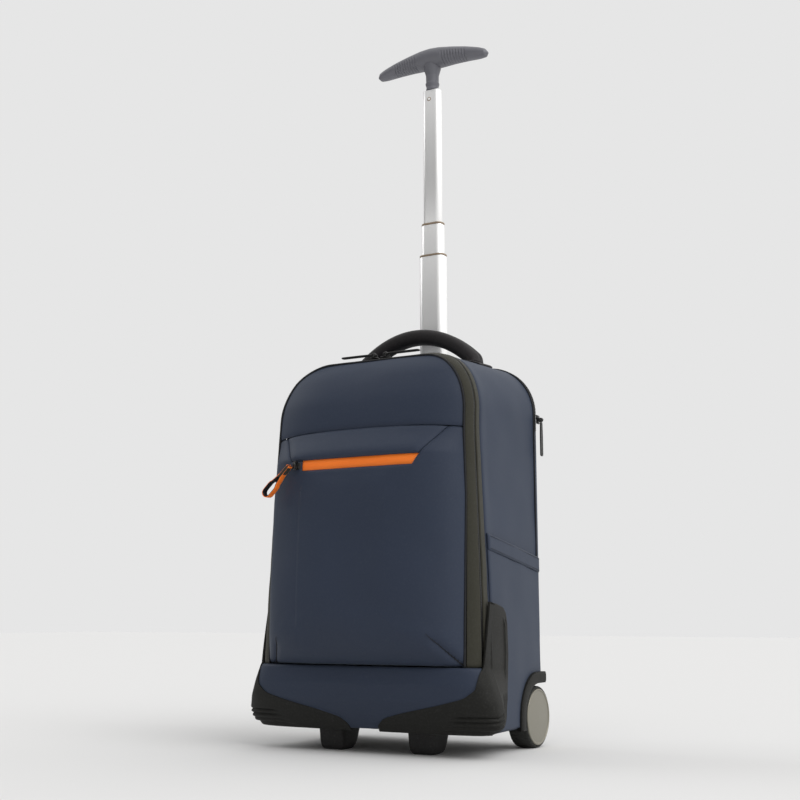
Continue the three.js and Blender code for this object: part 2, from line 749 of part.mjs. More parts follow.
// Wheels: a tyre on a core with a cap, turning on a pin of the housing
function addWheels() {
  const inner = wheelFace - wheelWidth;
  for (const [name, side] of [['left', -1], ['right', 1]]) {
    const tyre = lathe([
      [coreRadius + gap, inner + tread],
      [wheelRadius - tread, inner],
      [wheelRadius, inner + tread],
      [wheelRadius, wheelFace - 3 * tread],
      [wheelRadius - tread, wheelFace - tread],
      [capRadius + gap, wheelFace - tread],
      [capRadius + gap, wheelFace - capDepth - gap],
      [coreRadius + gap, wheelFace - capDepth - gap],
      [coreRadius + gap, inner + tread],
    ], 'x', 20);
    const bore = axleRadius + axleClear;
    const boreEnd = inner + wheelWidth * 0.7;
    const hub = lathe([
      [0, boreEnd],
      [bore, boreEnd],
      [bore, inner],
      [coreRadius, inner],
      [coreRadius, wheelFace - capDepth],
      [capRadius, wheelFace - capDepth],
      [capRadius, wheelFace - capDepth * 0.4],
      [capRadius - 2, wheelFace],
      [0, wheelFace],
    ], 'x', 20);
    for (const [piece, geometry, look] of [['tyre', tyre, 'tyre'], ['wheel_hub', hub, 'wheel']]) {
      const mesh = add(`${piece}_${name}`, geometry, look);
      mesh.position.set(0, axleBack, wheelRadius);
      mesh.rotation.z = side < 0 ? Math.PI : 0;
    }
    addHousing(name, side, inner);
  }
}

function addHousing(name, side, wheelInner) {
  const cheekOuter = cheekInner + cheekWall;
  const place = (from, to) => (side > 0 ? [from, to] : [-to, -from]);
  const outline = archOutline(wheelWell + wellWall, housingFoot, housingEnd);
  outline.lineTo(housingEnd, housingFoot);
  const cheek = prism(outline, 'x', ...place(cheekInner, cheekOuter), 8);
  const flangeFace = shellReach(axleBack - wheelWell - flangeWidth, hemHeight) + pocketWall + 2 * gap;
  const roof = archBand(wheelWell, wheelWell + wellWall, ...place(cheekOuter - 1, flangeFace + flangeDepth));
  const flange = archBand(wheelWell, wheelWell + flangeWidth, ...place(flangeFace, flangeFace + flangeDepth));
  const pinEnd = wheelInner + wheelWidth * 0.6;
  const pin = new THREE.CylinderGeometry(axleRadius, axleRadius, pinEnd - cheekInner, 24);
  pin.rotateZ(Math.PI / 2).translate((side * (pinEnd + cheekInner)) / 2, axleBack, wheelRadius);
  const whole = [roof, flange, pin].reduce((body, piece) => body.add(solid(piece)), solid(cheek));
  add(`wheel_housing_${name}`, shape(whole), 'moulded');
}

// Side pockets: a panel on each side of the shell with a band along its mouth
function pocketMouth(y) {
  return lerp(pocketTopFront, pocketTopBack, THREE.MathUtils.clamp(y / backPlane, 0, 1));
}

function addSidePockets() {
  const start = gussetBack(pocketTopBack) + 2;
  const end = backPlane - edgeRound - 4;
  for (const [name, side] of [['left', -1], ['right', 1]]) {
    const face = (low, high, grow) => (u, v) => {
      const y = lerp(start, end, u);
      const z = lerp(low(y), high(y), v);
      return new THREE.Vector3(side * (shellReach(y, z) + gap + grow), y, z);
    };
    const foot = () => baseUnderside - 1;
    const bandFoot = (y) => pocketMouth(y) - hemBand;
    const whole = solid(panel(face(foot, bandFoot, pocketWall), face(foot, bandFoot, 0), 6, 5));
    add(`side_pocket_${name}`, shape(whole.subtract(solid(archCut(wellCut)))), 'navy');
    const low = (y) => bandFoot(y) + gap;
    const band = panel(face(low, pocketMouth, pocketWall + hemBandWall), face(low, pocketMouth, 0), 6, 2);
    add(`pocket_hem_${name}`, band, 'navy');
  }
}

// Rear zip over the top corners, on the shell
const rearZipBack = backPlane - edgeRound / 2;
function addRearZip() {
  const skip = archSteps.findIndex((step) => step.zone === 'corner') - 1;
  const count = archCount - 2 * skip;
  const face = (grow) => (u, v) => {
    const index = skip + Math.round(u * count);
    const y = rearZipBack - rearZipWidth * (1 - v);
    const run = shellRunAt(y, archPoint(index, gussetShape).z);
    return shellPoint(index, run, grow + gap - edgeRound * read(shellRows, 'run', run, 'inset'));
  };
  add('rear_zip', panel(face(rearZipWall), face(0), count, 1), 'black');
}

// Sliders: a base with two ears and a pin, and a tab with an eye on that pin
function sliderGeometry() {
  const half = pullWidth / 2 + gap;
  const wide = half + earWall;
  const base = solid(block(-sliderLength / 2, sliderLength / 2, -wide, wide, 0, sliderBase));
  const ear = (y) => solid(block(-earHalf, earHalf, y, y + earWall, sliderBase / 2, pinLift + earHalf / 2));
  const pin = new THREE.CylinderGeometry(pinRadius, pinRadius, 2 * (half + earWall), 12);
  pin.translate(0, 0, pinLift);
  return shape(base.add(ear(half)).add(ear(-half - earWall)).add(solid(pin)));
}

function pullGeometry() {
  const outline = new THREE.Shape();
  const neck = Math.asin(pullThick / 2 / eyeRadius);
  outline.absarc(0, 0, eyeRadius, neck, 2 * Math.PI - neck, false);
  outline.lineTo(pullLength - pullThick / 2, -pullThick / 2);
  outline.absarc(pullLength - pullThick / 2, 0, pullThick / 2, -Math.PI / 2, Math.PI / 2, false);
  const bore = new THREE.Path();
  bore.absarc(0, 0, eyeBore, 0, 2 * Math.PI, true);
  outline.holes.push(bore);
  return prism(outline, 'y', -pullWidth / 2, pullWidth / 2, 5);
}

function addSlider(name, place, turn) {
  const group = new THREE.Group();
  group.position.copy(place);
  group.rotation.copy(turn);
  bag.add(group);
  group.add(add(`${name}_slider`, sliderGeometry(), 'trim'));
  return group;
}

function addZipPulls() {
  const deck = bagHeight + sliderSeat;
  const back = lerp(topLean, gussetBack(bagHeight), read(gussetSection, 'along', zipAlong, 'back'));
  for (const [name, side] of [['top_left', -1], ['top_right', 1]]) {
    const place = new THREE.Vector3(topPullSide + side * topPullSpread, back, deck);
    const group = addSlider(name, place, new THREE.Euler(0, 0, side < 0 ? Math.PI : 0));
    const pull = add(`${name}_pull`, pullGeometry(), 'trim');
    pull.position.z = pinLift;
    group.add(pull);
  }
  const y = rearZipBack - rearZipWidth / 2;
  const z = backShape.top - backArch.cornerTall - sliderLength * 0.7;
  const inset = edgeRound * read(shellRows, 'run', shellRunAt(rearZipBack - rearZipWidth, z), 'inset');
  const side = shellReach(y, z) - inset + 2 * gap + rearZipWall;
  const group = addSlider('rear', new THREE.Vector3(side, y, z), new THREE.Euler(0, Math.PI / 2, 0));
  const pull = add('rear_pull', pullGeometry(), 'trim');
  pull.position.z = pinLift;
  group.add(pull);
}

// Pocket slider with its folded webbing, which ends in a loop
function addPocketPull() {
  const x = -yokeFootHalf + flashInset - sliderLength / 2;
  const z = (yokeFoot + flashFoot) / 2;
  const face = pocketFace(x, z) - gap;
  const group = addSlider('pocket', new THREE.Vector3(x, face, z), new THREE.Euler(Math.PI / 2, 0, 0));
  const ring = webLength + loopRadius;
  const lead = Math.asin(webWall / loopRadius);
  const web = new THREE.Shape();
  web.moveTo(0, webWall);
  web.lineTo(0, -webWall);
  web.lineTo(webLength, -webWall);
  web.absarc(ring, 0, loopRadius, Math.PI + lead, 3 * Math.PI - lead, false);
  web.lineTo(0, webWall);
  const hole = new THREE.Path();
  hole.absarc(ring, 0, loopRadius - webWall, 0, 2 * Math.PI, true);
  web.holes.push(hole);
  const pull = add('pocket_pull', prism(web, 'z', -webWidth / 2, webWidth / 2, 6), 'orange');
  pull.position.set(-sliderLength / 2 - webWall, 0, webWidth / 2);
  pull.rotation.z = -webTurn;
  group.add(pull);
}

// Carry handle: a padded bar over the top, on two sewn anchors
function addCarryHandle() {
  const deck = shellTop(carryBack);
  const foot = deck + gap + anchorDepth;
  const ring = (v, angle) => {
    const turn = Math.PI * v;
    const cx = -carryHalf * Math.cos(turn);
    const cz = deck + carryRise * Math.sin(turn) ** carryArch;
    const up = carryHalf * Math.sin(turn) ** (2 - carryArch);
    const normal = new THREE.Vector2(-carryArch * carryRise * Math.cos(turn), up).normalize();
    const swell = 1 + 0.25 * Math.abs(Math.cos(turn)) ** 6;
    const a = (carryThick / 2) * Math.cos(angle);
    const b = (carryDepth / 2) * swell * Math.sin(angle);
    return new THREE.Vector3(cx + normal.x * a, carryBack + b, cz + normal.y * a);
  };
  const whole = solid(bar(ring, 14, 8));
  const floor = solid(block(-2 * carryHalf, 2 * carryHalf, 0, 2 * carryBack, 0, foot));
  add('carry_handle', shape(whole.subtract(floor)), 'black');
  for (const [name, side] of [['left', -1], ['right', 1]]) {
    const half = carryThick * 0.75;
    const x = side * (carryHalf - 2);
    const pad = block(x - half, x + half, carryBack - carryDepth * 0.75, carryBack + carryDepth * 0.75,
      deck - anchorSink, deck + anchorDepth);
    const under = solid(panel(shellSurface(gap), shellSurface(-1.5 * anchorSink), archCount, shellSteps));
    add(`handle_anchor_${name}`, shape(solid(pad).subtract(under)), 'black');
  }
}

function shellTop(y) {
  const start = gussetBack(bagHeight);
  const run = (y - start) / (backPlane - start);
  return lerp(bagHeight, bagHeight + backArch.topRise, run);
}

// Telescopic handle
function tubeOutline(wide, deep, wall) {
  const corner = deep * tubeCorner;
  const outline = roundedBox(wide, deep, corner);
  const bore = roundedBox(wide - 2 * wall, deep - 2 * wall, corner - wall);
  outline.holes.push(new THREE.Path(bore.getPoints(2)));
  return outline;
}

function sizedStages() {
  let [wide, deep, top] = [tubeWide, tubeDeep, bagHeight + collarHeight];
  return tubeStages.map((row) => {
    top += row.shows;
    const stage = { ...row, wide, deep, top, foot: top - bagHeight + row.spare };
    wide -= 2 * (row.wall + tubeSideClear);
    deep -= 2 * (row.wall + tubeFaceClear);
    return stage;
  });
}

function addTrolley() {
  const [outer, middle, inner] = sizedStages();
  const sleeveWide = outer.wide + 2 * (sleeveClear + sleeveWall);
  const sleeveDeep = outer.deep + 2 * (sleeveClear + sleeveWall);
  const top = shellTop(tubeBack) + gap;
  const upright = (name, geometry, look) => {
    add(name, geometry, look).position.y = tubeBack;
  };
  const sleeve = tubeOutline(sleeveWide, sleeveDeep, sleeveWall);
  upright('trolley_sleeve', prism(sleeve, 'z', sleeveFoot, top - gap, 2), 'moulded');
  const collarDeep = sleeveDeep + collarBorder;
  const collarRear = rearZipBack - rearZipWidth - gap - tubeBack;
  const collarWide = sleeveWide + 2 * collarBorder;
  const collar = roundedBox(collarWide, collarDeep, collarCorner, 0, collarRear - collarDeep / 2);
  const mouth = roundedBox(outer.wide + 2 * gap, outer.deep + 2 * gap, outer.deep * tubeCorner + gap);
  collar.holes.push(new THREE.Path(mouth.getPoints(2)));
  upright('trolley_collar', prism(collar, 'z', top + 0.6, top + collarHeight, 2), 'moulded');
  for (const [stage, next] of [[outer, middle], [middle, inner], [inner, null]]) {
    const rim = next ? rimHeight + gap : 0;
    const tube = prism(tubeOutline(stage.wide, stage.deep, stage.wall), 'z', stage.foot, stage.top - rim, 2);
    if (!next) {
      const bore = rivetPin(stage, rivetRadius + gap, -clothWall, stage.wall + gap);
      upright(`tube_${stage.name}`, shape(solid(tube).subtract(solid(bore))), 'tube');
      continue;
    }
    upright(`tube_${stage.name}`, tube, 'tube');
    const ring = roundedBox(stage.wide, stage.deep, stage.deep * tubeCorner);
    const pass = roundedBox(next.wide + 2 * gap, next.deep + 2 * gap * 0.8, next.deep * tubeCorner + gap);
    ring.holes.push(new THREE.Path(pass.getPoints(2)));
    upright(`rim_${stage.name}`, prism(ring, 'z', stage.top - rimHeight, stage.top, 2), 'trim');
  }
  upright('tube_rivet', rivetPin(inner, rivetRadius, -rivetProud, inner.wall), 'tube');
  addGrip(inner);
}

// The pin set flush in the inner tube's front wall, from in front of the wall's face to behind it
function rivetPin(tube, radius, from, to) {
  const pin = new THREE.CylinderGeometry(radius, radius, to - from, rivetSides);
  return pin.translate(rivetSide, (from + to - tube.deep) / 2, tube.top - rivetDrop);
}

// Grip: a bar thick in the middle with drooping ends, on a waisted neck
function addGrip(inner) {
  const ring = (v, angle) => {
    const out = 2 * v - 1;
    const spread = Math.sign(out) * Math.sin((Math.abs(out) * Math.PI) / 2);
    const share = Math.abs(spread);
    const tall = gripTall * read(gripRows, 'out', share, 'tall');
    const deep = gripDeep * read(gripRows, 'out', share, 'deep');
    const y = tubeBack + deep * Math.cos(angle);
    const middle = inner.top + gripRise - gripDroop * read(gripRows, 'out', share, 'drop');
    return new THREE.Vector3(gripHalf * spread, y, middle + tall * Math.sin(angle));
  };
  const neckFoot = inner.top + gap;
  const neckTop = neckFoot + gripRise - gripTall / 2;
  const profile = neckRows.map((row) => [neckRadius * row.radius, lerp(neckFoot, neckTop, row.up)]);
  const neck = lathe([[0, neckFoot], ...profile, [0, neckTop]], 'z', 12);
  neck.translate(0, tubeBack, 0);
  const inset = inner.wall + gap;
  const plugCorner = inner.deep * tubeCorner - inset;
  const plugOutline = roundedBox(inner.wide - 2 * inset, inner.deep - 2 * inset, plugCorner);
  const plug = prism(plugOutline, 'z', inner.top - plugDepth, neckFoot + inset, 2).translate(0, tubeBack, 0);
  const whole = solid(bar(ring, 14, 10)).add(solid(neck)).add(solid(plug));
  add('grip', shape(whole), 'grip');
}

addShell();
addBackPanel();
addBase();
addGusset();
addTopPanel();
addPocket();
addToe();
addGuards();
addFeet();
addWheels();
addSidePockets();
addRearZip();
addZipPulls();
addPocketPull();
addCarryHandle();
addTrolley();

// Centred on its footprint
bag.updateMatrixWorld(true);
const bounds = new THREE.Box3().setFromObject(bag, true);
bag.position.set(-(bounds.min.x + bounds.max.x) / 2, -(bounds.min.y + bounds.max.y) / 2, -bounds.min.z);
bag.updateMatrixWorld(true);

export default bag;
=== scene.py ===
import json
import math

import bmesh
import bpy
from mathutils import Matrix, Vector, noise

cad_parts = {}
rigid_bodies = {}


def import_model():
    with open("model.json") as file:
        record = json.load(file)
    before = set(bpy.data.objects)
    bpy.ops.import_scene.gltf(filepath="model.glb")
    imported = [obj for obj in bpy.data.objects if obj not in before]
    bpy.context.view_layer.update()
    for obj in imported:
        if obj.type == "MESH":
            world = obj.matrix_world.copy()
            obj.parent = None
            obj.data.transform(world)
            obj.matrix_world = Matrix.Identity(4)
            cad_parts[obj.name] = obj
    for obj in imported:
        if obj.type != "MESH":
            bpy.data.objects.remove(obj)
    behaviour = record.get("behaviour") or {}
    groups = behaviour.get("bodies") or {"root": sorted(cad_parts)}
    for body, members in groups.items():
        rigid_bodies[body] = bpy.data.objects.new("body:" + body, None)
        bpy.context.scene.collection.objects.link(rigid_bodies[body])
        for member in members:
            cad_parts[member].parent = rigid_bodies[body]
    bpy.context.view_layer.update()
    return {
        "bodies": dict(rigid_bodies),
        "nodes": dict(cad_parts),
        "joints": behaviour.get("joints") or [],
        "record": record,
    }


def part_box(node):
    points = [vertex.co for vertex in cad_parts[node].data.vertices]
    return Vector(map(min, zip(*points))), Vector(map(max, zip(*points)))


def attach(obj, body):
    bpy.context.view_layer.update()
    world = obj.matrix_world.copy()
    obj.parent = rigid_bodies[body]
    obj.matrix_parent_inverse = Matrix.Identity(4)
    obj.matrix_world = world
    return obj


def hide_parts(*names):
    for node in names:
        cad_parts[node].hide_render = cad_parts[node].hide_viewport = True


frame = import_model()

scene = bpy.context.scene
mm = 0.001

# The bag's driving sizes in millimetres. Depths are counted from the toe, as the bag's maker would.
bag = {
    "height": 497, "halfWidth": 147, "backPlane": 198, "underside": 30.5, "hem": 106,
    "tubeBack": 176, "carryBack": 129, "axleBack": 164.2, "gap": 0.3,
    "flare": {0.05: 1.065, 0.213: 1.067, 0.35: 1.053, 0.47: 1.035, 0.64: 1.007, 0.79: 0.983, 1: 0.983},
    "lean": {0.213: -13, 0.47: -8.5, 0.79: -2, 0.88: 1.5, 0.95: 8, 1: 21},
    "gussetDeep": {0.213: 33, 0.47: 31, 0.79: 24, 0.88: 24, 0.95: 26, 1: 28},
}
frontArch = {"wide": 66, "tall": 78, "top": 492}
gussetArch = {"wide": 72, "tall": 82, "top": 497}
backArch = {"wide": 67, "tall": 66, "top": 501}

tubeLow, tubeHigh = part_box("tube_outer")
toeY = (tubeLow.y + tubeHigh.y) / 2 - bag["tubeBack"] * mm


def at(x, y, z):
    return Vector((x * mm, y * mm + toeY, z * mm))


def mix(a, b, t):
    return a + (b - a) * t


def clamp(t, low=0.0, high=1.0):
    return max(low, min(high, t))


def ease(t):
    t = clamp(t)
    return t * t * (3 - 2 * t)


def read(table, key):       # value of a {key: value} table, straight between its rows
    keys = list(table)
    if key <= keys[0]:
        return table[keys[0]]
    for a, b in zip(keys, keys[1:]):
        if key <= b:
            return mix(table[a], table[b], (key - a) / (b - a))
    return table[keys[-1]]


def softRead(table, key, reach=0.03):       # the same, with its corners rounded
    steps = (-1, -0.5, 0, 0.5, 1)
    return sum(read(table, key + step * reach) for step in steps) / len(steps)


# Camera at the photo's place: a little below the handle's middle, looking up and in from the right
cameraView = {"x": 803.7, "y": -1346.15, "z": 167.2, "turn": 29.42, "tilt": 9.77, "focal": 1245, "frame": 800}


def placeCamera(view):
    data = bpy.data.cameras.new("camera")
    data.sensor_width = 36
    data.lens = data.sensor_width * view["focal"] / view["frame"]
    data.clip_start = 0.05
    camera = bpy.data.objects.new("camera", data)
    camera.location = at(view["x"], view["y"], view["z"])
    camera.rotation_euler = (math.radians(90 + view["tilt"]), 0, math.radians(view["turn"]))
    scene.collection.objects.link(camera)
    scene.camera = camera


placeCamera(cameraView)
print("camera placed")


# Materials
def colour(code, alpha=1.0):        # a screen colour as the shader's linear one
    parts = [int(code[i:i + 2], 16) / 255 for i in (1, 3, 5)]
    linear = [p / 12.92 if p <= 0.04045 else ((p + 0.055) / 1.055) ** 2.4 for p in parts]
    return (*linear, alpha)


def newGroup(name, inputs, outputs):
    group = bpy.data.node_groups.new(name, "ShaderNodeTree")
    for label, kind, value in inputs:
        socket = group.interface.new_socket(label, in_out="INPUT", socket_type=kind)
        if value is not None:
            socket.default_value = value
    for label, kind in outputs:
        group.interface.new_socket(label, in_out="OUTPUT", socket_type=kind)
    start = group.nodes.new("NodeGroupInput")
    end = group.nodes.new("NodeGroupOutput")
    return group, start, end


def mathNode(tree, operation, a, b=None):
    node = tree.nodes.new("ShaderNodeMath")
    node.operation = operation
    for socket, value in zip(node.inputs, (a, b)):
        if value is None:
            continue
        if isinstance(value, (int, float)):
            socket.default_value = value
        else:
            tree.links.new(value, socket)
    return node.outputs[0]


def buildWeave():       # over and under threads, as a height from 0 to 1
    group, start, end = newGroup(
        "threadWeave",
        [("Vector", "NodeSocketVector", None), ("Threads per metre", "NodeSocketFloat", 1400.0)],
        [("Height", "NodeSocketFloat")])
    split = group.nodes.new("ShaderNodeSeparateXYZ")
    group.links.new(start.outputs["Vector"], split.inputs[0])
    turns = mathNode(group, "MULTIPLY", start.outputs["Threads per metre"], math.pi)
    across = mathNode(group, "SINE", mathNode(group, "MULTIPLY", split.outputs["X"], turns))
    along = mathNode(group, "SINE", mathNode(group, "MULTIPLY", split.outputs["Y"], turns))
    crossed = mathNode(group, "MULTIPLY", across, along)
    lifted = mathNode(group, "MULTIPLY_ADD", crossed, 0.5)
    lifted.node.inputs[2].default_value = 0.5
    group.links.new(lifted, end.inputs["Height"])
    return group


def buildGrain():       # fine moulded or coated grain
    group, start, end = newGroup(
        "fineGrain",
        [("Vector", "NodeSocketVector", None), ("Scale", "NodeSocketFloat", 900.0)],
        [("Height", "NodeSocketFloat")])
    cells = group.nodes.new("ShaderNodeTexNoise")
    cells.inputs["Detail"].default_value = 3
    group.links.new(start.outputs["Vector"], cells.inputs["Vector"])
    group.links.new(start.outputs["Scale"], cells.inputs["Scale"])
    group.links.new(cells.outputs["Fac"], end.inputs["Height"])
    return group


def buildTone():        # a slow drift between two colours, with lighter specks of dust
    group, start, end = newGroup(
        "toneDrift",
        [("Vector", "NodeSocketVector", None), ("Color", "NodeSocketColor", (0.1, 0.1, 0.1, 1)),
         ("Drift Color", "NodeSocketColor", (0.2, 0.2, 0.2, 1)), ("Scale", "NodeSocketFloat", 12.0),
         ("Drift", "NodeSocketFloat", 0.5), ("Dust", "NodeSocketFloat", 0.1)],
        [("Color", "NodeSocketColor"), ("Mask", "NodeSocketFloat")])
    cloud = group.nodes.new("ShaderNodeTexNoise")
    cloud.inputs["Detail"].default_value = 4
    group.links.new(start.outputs["Vector"], cloud.inputs["Vector"])
    group.links.new(start.outputs["Scale"], cloud.inputs["Scale"])
    amount = mathNode(group, "MULTIPLY", cloud.outputs["Fac"], start.outputs["Drift"])
    blend = group.nodes.new("ShaderNodeMix")
    blend.data_type = "RGBA"
    group.links.new(amount, blend.inputs["Factor"])
    group.links.new(start.outputs["Color"], blend.inputs["A"])
    group.links.new(start.outputs["Drift Color"], blend.inputs["B"])
    specks = group.nodes.new("ShaderNodeTexNoise")
    specks.inputs["Scale"].default_value = 420
    specks.inputs["Detail"].default_value = 6
    group.links.new(start.outputs["Vector"], specks.inputs["Vector"])
    sparse = mathNode(group, "POWER", specks.outputs["Fac"], 5)
    dusty = mathNode(group, "MULTIPLY", sparse, start.outputs["Dust"])
    dust = group.nodes.new("ShaderNodeMix")
    dust.data_type = "RGBA"
    group.links.new(dusty, dust.inputs["Factor"])
    group.links.new(blend.outputs["Result"], dust.inputs["A"])
    dust.inputs["B"].default_value = (0.5, 0.5, 0.48, 1)
    group.links.new(dust.outputs["Result"], end.inputs["Color"])
    group.links.new(cloud.outputs["Fac"], end.inputs["Mask"])
    return group


weaveGroup = buildWeave()
grainGroup = buildGrain()
toneGroup = buildTone()


def finish(name, look):     # one material from a settings dictionary
    material = bpy.data.materials.new(name)
    material.use_nodes = True
    tree = material.node_tree
    shader = tree.nodes["Principled BSDF"]
    place = tree.nodes.new("ShaderNodeTexCoord")
    tone = tree.nodes.new("ShaderNodeGroup")
    tone.node_tree = toneGroup
    tree.links.new(place.outputs["Object"], tone.inputs["Vector"])
    tone.inputs["Color"].default_value = colour(look["colour"])
    tone.inputs["Drift Color"].default_value = colour(look["drift"])
    tone.inputs["Scale"].default_value = look.get("driftScale", 12)
    tone.inputs["Drift"].default_value = look.get("driftAmount", 0.5)
    tone.inputs["Dust"].default_value = look.get("dust", 0.1)
    tree.links.new(tone.outputs["Color"], shader.inputs["Base Color"])
    low, high = look["roughness"]
    spread = mathNode(tree, "MULTIPLY_ADD", tone.outputs["Mask"], high - low)
    spread.node.inputs[2].default_value = low
    tree.links.new(spread, shader.inputs["Roughness"])
    shader.inputs["Metallic"].default_value = look.get("metallic", 0)
    shader.inputs["Sheen Weight"].default_value = look.get("sheen", 0)
    shader.inputs["Sheen Roughness"].default_value = look.get("sheenRoughness", 0.5)
    shader.inputs["Sheen Tint"].default_value = colour(look.get("sheenTint", "#ffffff"))
    shader.inputs["Specular IOR Level"].default_value = look.get("specular", 0.5)
    shader.inputs["Coat Weight"].default_value = look.get("coat", 0)
    shader.inputs["Coat Roughness"].default_value = look.get("coatRoughness", 0.3)
    fine = tree.nodes.new("ShaderNodeGroup")
    if "threads" in look:
        fine.node_tree = weaveGroup
        fine.inputs["Threads per metre"].default_value = look["threads"]
        tree.links.new(place.outputs["UV"], fine.inputs["Vector"])
    else:
        fine.node_tree = grainGroup
        fine.inputs["Scale"].default_value = look["grain"]
        tree.links.new(place.outputs["Object"], fine.inputs["Vector"])
    bump = tree.nodes.new("ShaderNodeBump")
    bump.inputs["Distance"].default_value = look.get("depth", 0.0002)
    bump.inputs["Strength"].default_value = look.get("bump", 0.3)
    tree.links.new(fine.outputs["Height"], bump.inputs["Height"])
    slow = tree.nodes.new("ShaderNodeTexNoise")
    slow.inputs["Scale"].default_value = look.get("ripple", 28)
    slow.inputs["Detail"].default_value = 3
    tree.links.new(place.outputs["Object"], slow.inputs["Vector"])
    swell = tree.nodes.new("ShaderNodeBump")
    swell.inputs["Distance"].default_value = look.get("rippleDepth", 0.001)
    swell.inputs["Strength"].default_value = look.get("rippleBump", 0.2)
    tree.links.new(slow.outputs["Fac"], swell.inputs["Height"])
    tree.links.new(bump.outputs["Normal"], swell.inputs["Normal"])
    tree.links.new(swell.outputs["Normal"], shader.inputs["Normal"])
    return material


navyCloth = finish("navyCloth", {
    "colour": "#2a3242", "drift": "#323b4e", "driftScale": 9, "roughness": (0.5, 0.62), "sheen": 0.1,
    "sheenTint": "#aebccb", "threads": 1500, "bump": 0.25, "depth": 0.00012, "dust": 0.06,
    "ripple": 16, "rippleDepth": 0.002, "rippleBump": 0.12, "specular": 0.22})
blackCloth = finish("blackCloth", {
    "colour": "#2f2e25", "drift": "#37362d", "driftScale": 18, "roughness": (0.65, 0.8), "sheen": 0.08,
    "threads": 1000, "bump": 0.5, "depth": 0.0003, "dust": 0.1, "specular": 0.25})
handleCloth = finish("handleCloth", {
    "colour": "#1b181a", "drift": "#252223", "driftScale": 18, "roughness": (0.6, 0.78), "sheen": 0.1,
    "threads": 1000, "bump": 0.5, "depth": 0.0003, "dust": 0.1, "specular": 0.25})
pipingCloth = finish("pipingCloth", {
    "colour": "#15161a", "drift": "#1d1e22", "roughness": (0.55, 0.7), "sheen": 0.05,
    "threads": 1300, "bump": 0.4, "depth": 0.0002, "specular": 0.25})
zipTape = finish("zipTape", {
    "colour": "#161616", "drift": "#202020", "roughness": (0.45, 0.6), "threads": 1600, "bump": 0.3, "specular": 0.25})
orangeTape = finish("orangeTape", {
    "colour": "#ff7313", "drift": "#ff9424", "driftScale": 14, "roughness": (0.5, 0.62), "sheen": 0.2,
    "sheenTint": "#ffd0a0", "threads": 1300, "bump": 0.35, "dust": 0.05})
mouldedBlack = finish("mouldedBlack", {
    "colour": "#171715", "drift": "#1e1e1b", "driftScale": 22, "roughness": (0.5, 0.64), "grain": 1500,
    "bump": 0.25, "depth": 0.00015, "dust": 0.12, "rippleDepth": 0.0004, "rippleBump": 0.1, "specular": 0.2})
footBlack = finish("footBlack", {
    "colour": "#1e1d1e", "drift": "#282827", "driftScale": 30, "roughness": (0.5, 0.66), "grain": 1100,
    "bump": 0.35, "depth": 0.0002, "dust": 0.2, "specular": 0.3})
sliderMetal = finish("sliderMetal", {
    "colour": "#161616", "drift": "#222222", "driftScale": 60, "roughness": (0.28, 0.42), "metallic": 0.3,
    "grain": 700, "bump": 0.08, "coat": 0.3})
tubeMetal = finish("tubeMetal", {
    "colour": "#ffffff", "drift": "#ffffff", "driftScale": 7, "roughness": (0.4, 0.46), "metallic": 0.8,
    "grain": 1800, "bump": 0.05, "depth": 0.00005, "dust": 0.02, "rippleDepth": 0.0001, "rippleBump": 0.03})
gripPlastic = finish("gripPlastic", {
    "colour": "#63646a", "drift": "#76757e", "driftScale": 25, "roughness": (0.4, 0.5), "grain": 1300,
    "bump": 0.15, "depth": 0.0001, "dust": 0.06, "rippleDepth": 0.0002, "rippleBump": 0.05})
wheelDisc = finish("wheelDisc", {
    "colour": "#858277", "drift": "#918d81", "driftScale": 18, "roughness": (0.36, 0.46), "metallic": 0.55,
    "grain": 1600, "bump": 0.08, "dust": 0.06, "rippleDepth": 0.0002, "rippleBump": 0.05})
tyreRubber = finish("tyreRubber", {
    "colour": "#222321", "drift": "#2e2f2c", "driftScale": 40, "roughness": (0.66, 0.82), "grain": 900,
    "bump": 0.4, "depth": 0.0003, "dust": 0.3, "specular": 0.3})
print("materials made")


# Helpers that turn a bmesh into a finished piece
def makePiece(name, shape, material, body="root", replaced=(), smooth=True):
    mesh = bpy.data.meshes.new(name)
    shape.to_mesh(mesh)
    shape.free()
    piece = bpy.data.objects.new(name, mesh)
    scene.collection.objects.link(piece)
    for face in mesh.polygons:
        face.use_smooth = smooth
    mesh.materials.append(material)
    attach(piece, body)
    if replaced:
        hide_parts(*replaced)
    return piece


def clothGrid(columns, rows, place, cloth=(1, 1)):      # a grid laid by a function of two shares
    shape = bmesh.new()
    bmesh.ops.create_grid(shape, x_segments=columns, y_segments=rows, size=0.5)
    layer = shape.loops.layers.uv.new("UVMap")
    for face in shape.faces:
        for corner in face.loops:
            corner[layer].uv = ((corner.vert.co.x + 0.5) * cloth[0], (corner.vert.co.y + 0.5) * cloth[1])
    for point in shape.verts:
        point.co = place(clamp(point.co.x + 0.5), clamp(point.co.y + 0.5))
    return shape


def faceOut(shape, outward):        # turns all faces so that the first one looks along outward
    shape.normal_update()
    total = sum(face.normal.dot(outward(face.calc_center_median())) * face.calc_area() for face in shape.faces)
    if total < 0:
        bmesh.ops.reverse_faces(shape, faces=shape.faces)
    shape.normal_update()


def thicken(piece, thickness, offset=-1, rim=0.0):
    wall = piece.modifiers.new("wall", "SOLIDIFY")
    wall.thickness = thickness * mm
    wall.offset = offset
    wall.use_even_offset = False
    if rim:
        soft = piece.modifiers.new("softEdge", "BEVEL")
        soft.width = rim * mm
        soft.segments = 2
        soft.limit_method = "ANGLE"
        soft.angle_limit = math.radians(50)
        soft.harden_normals = False
    return piece


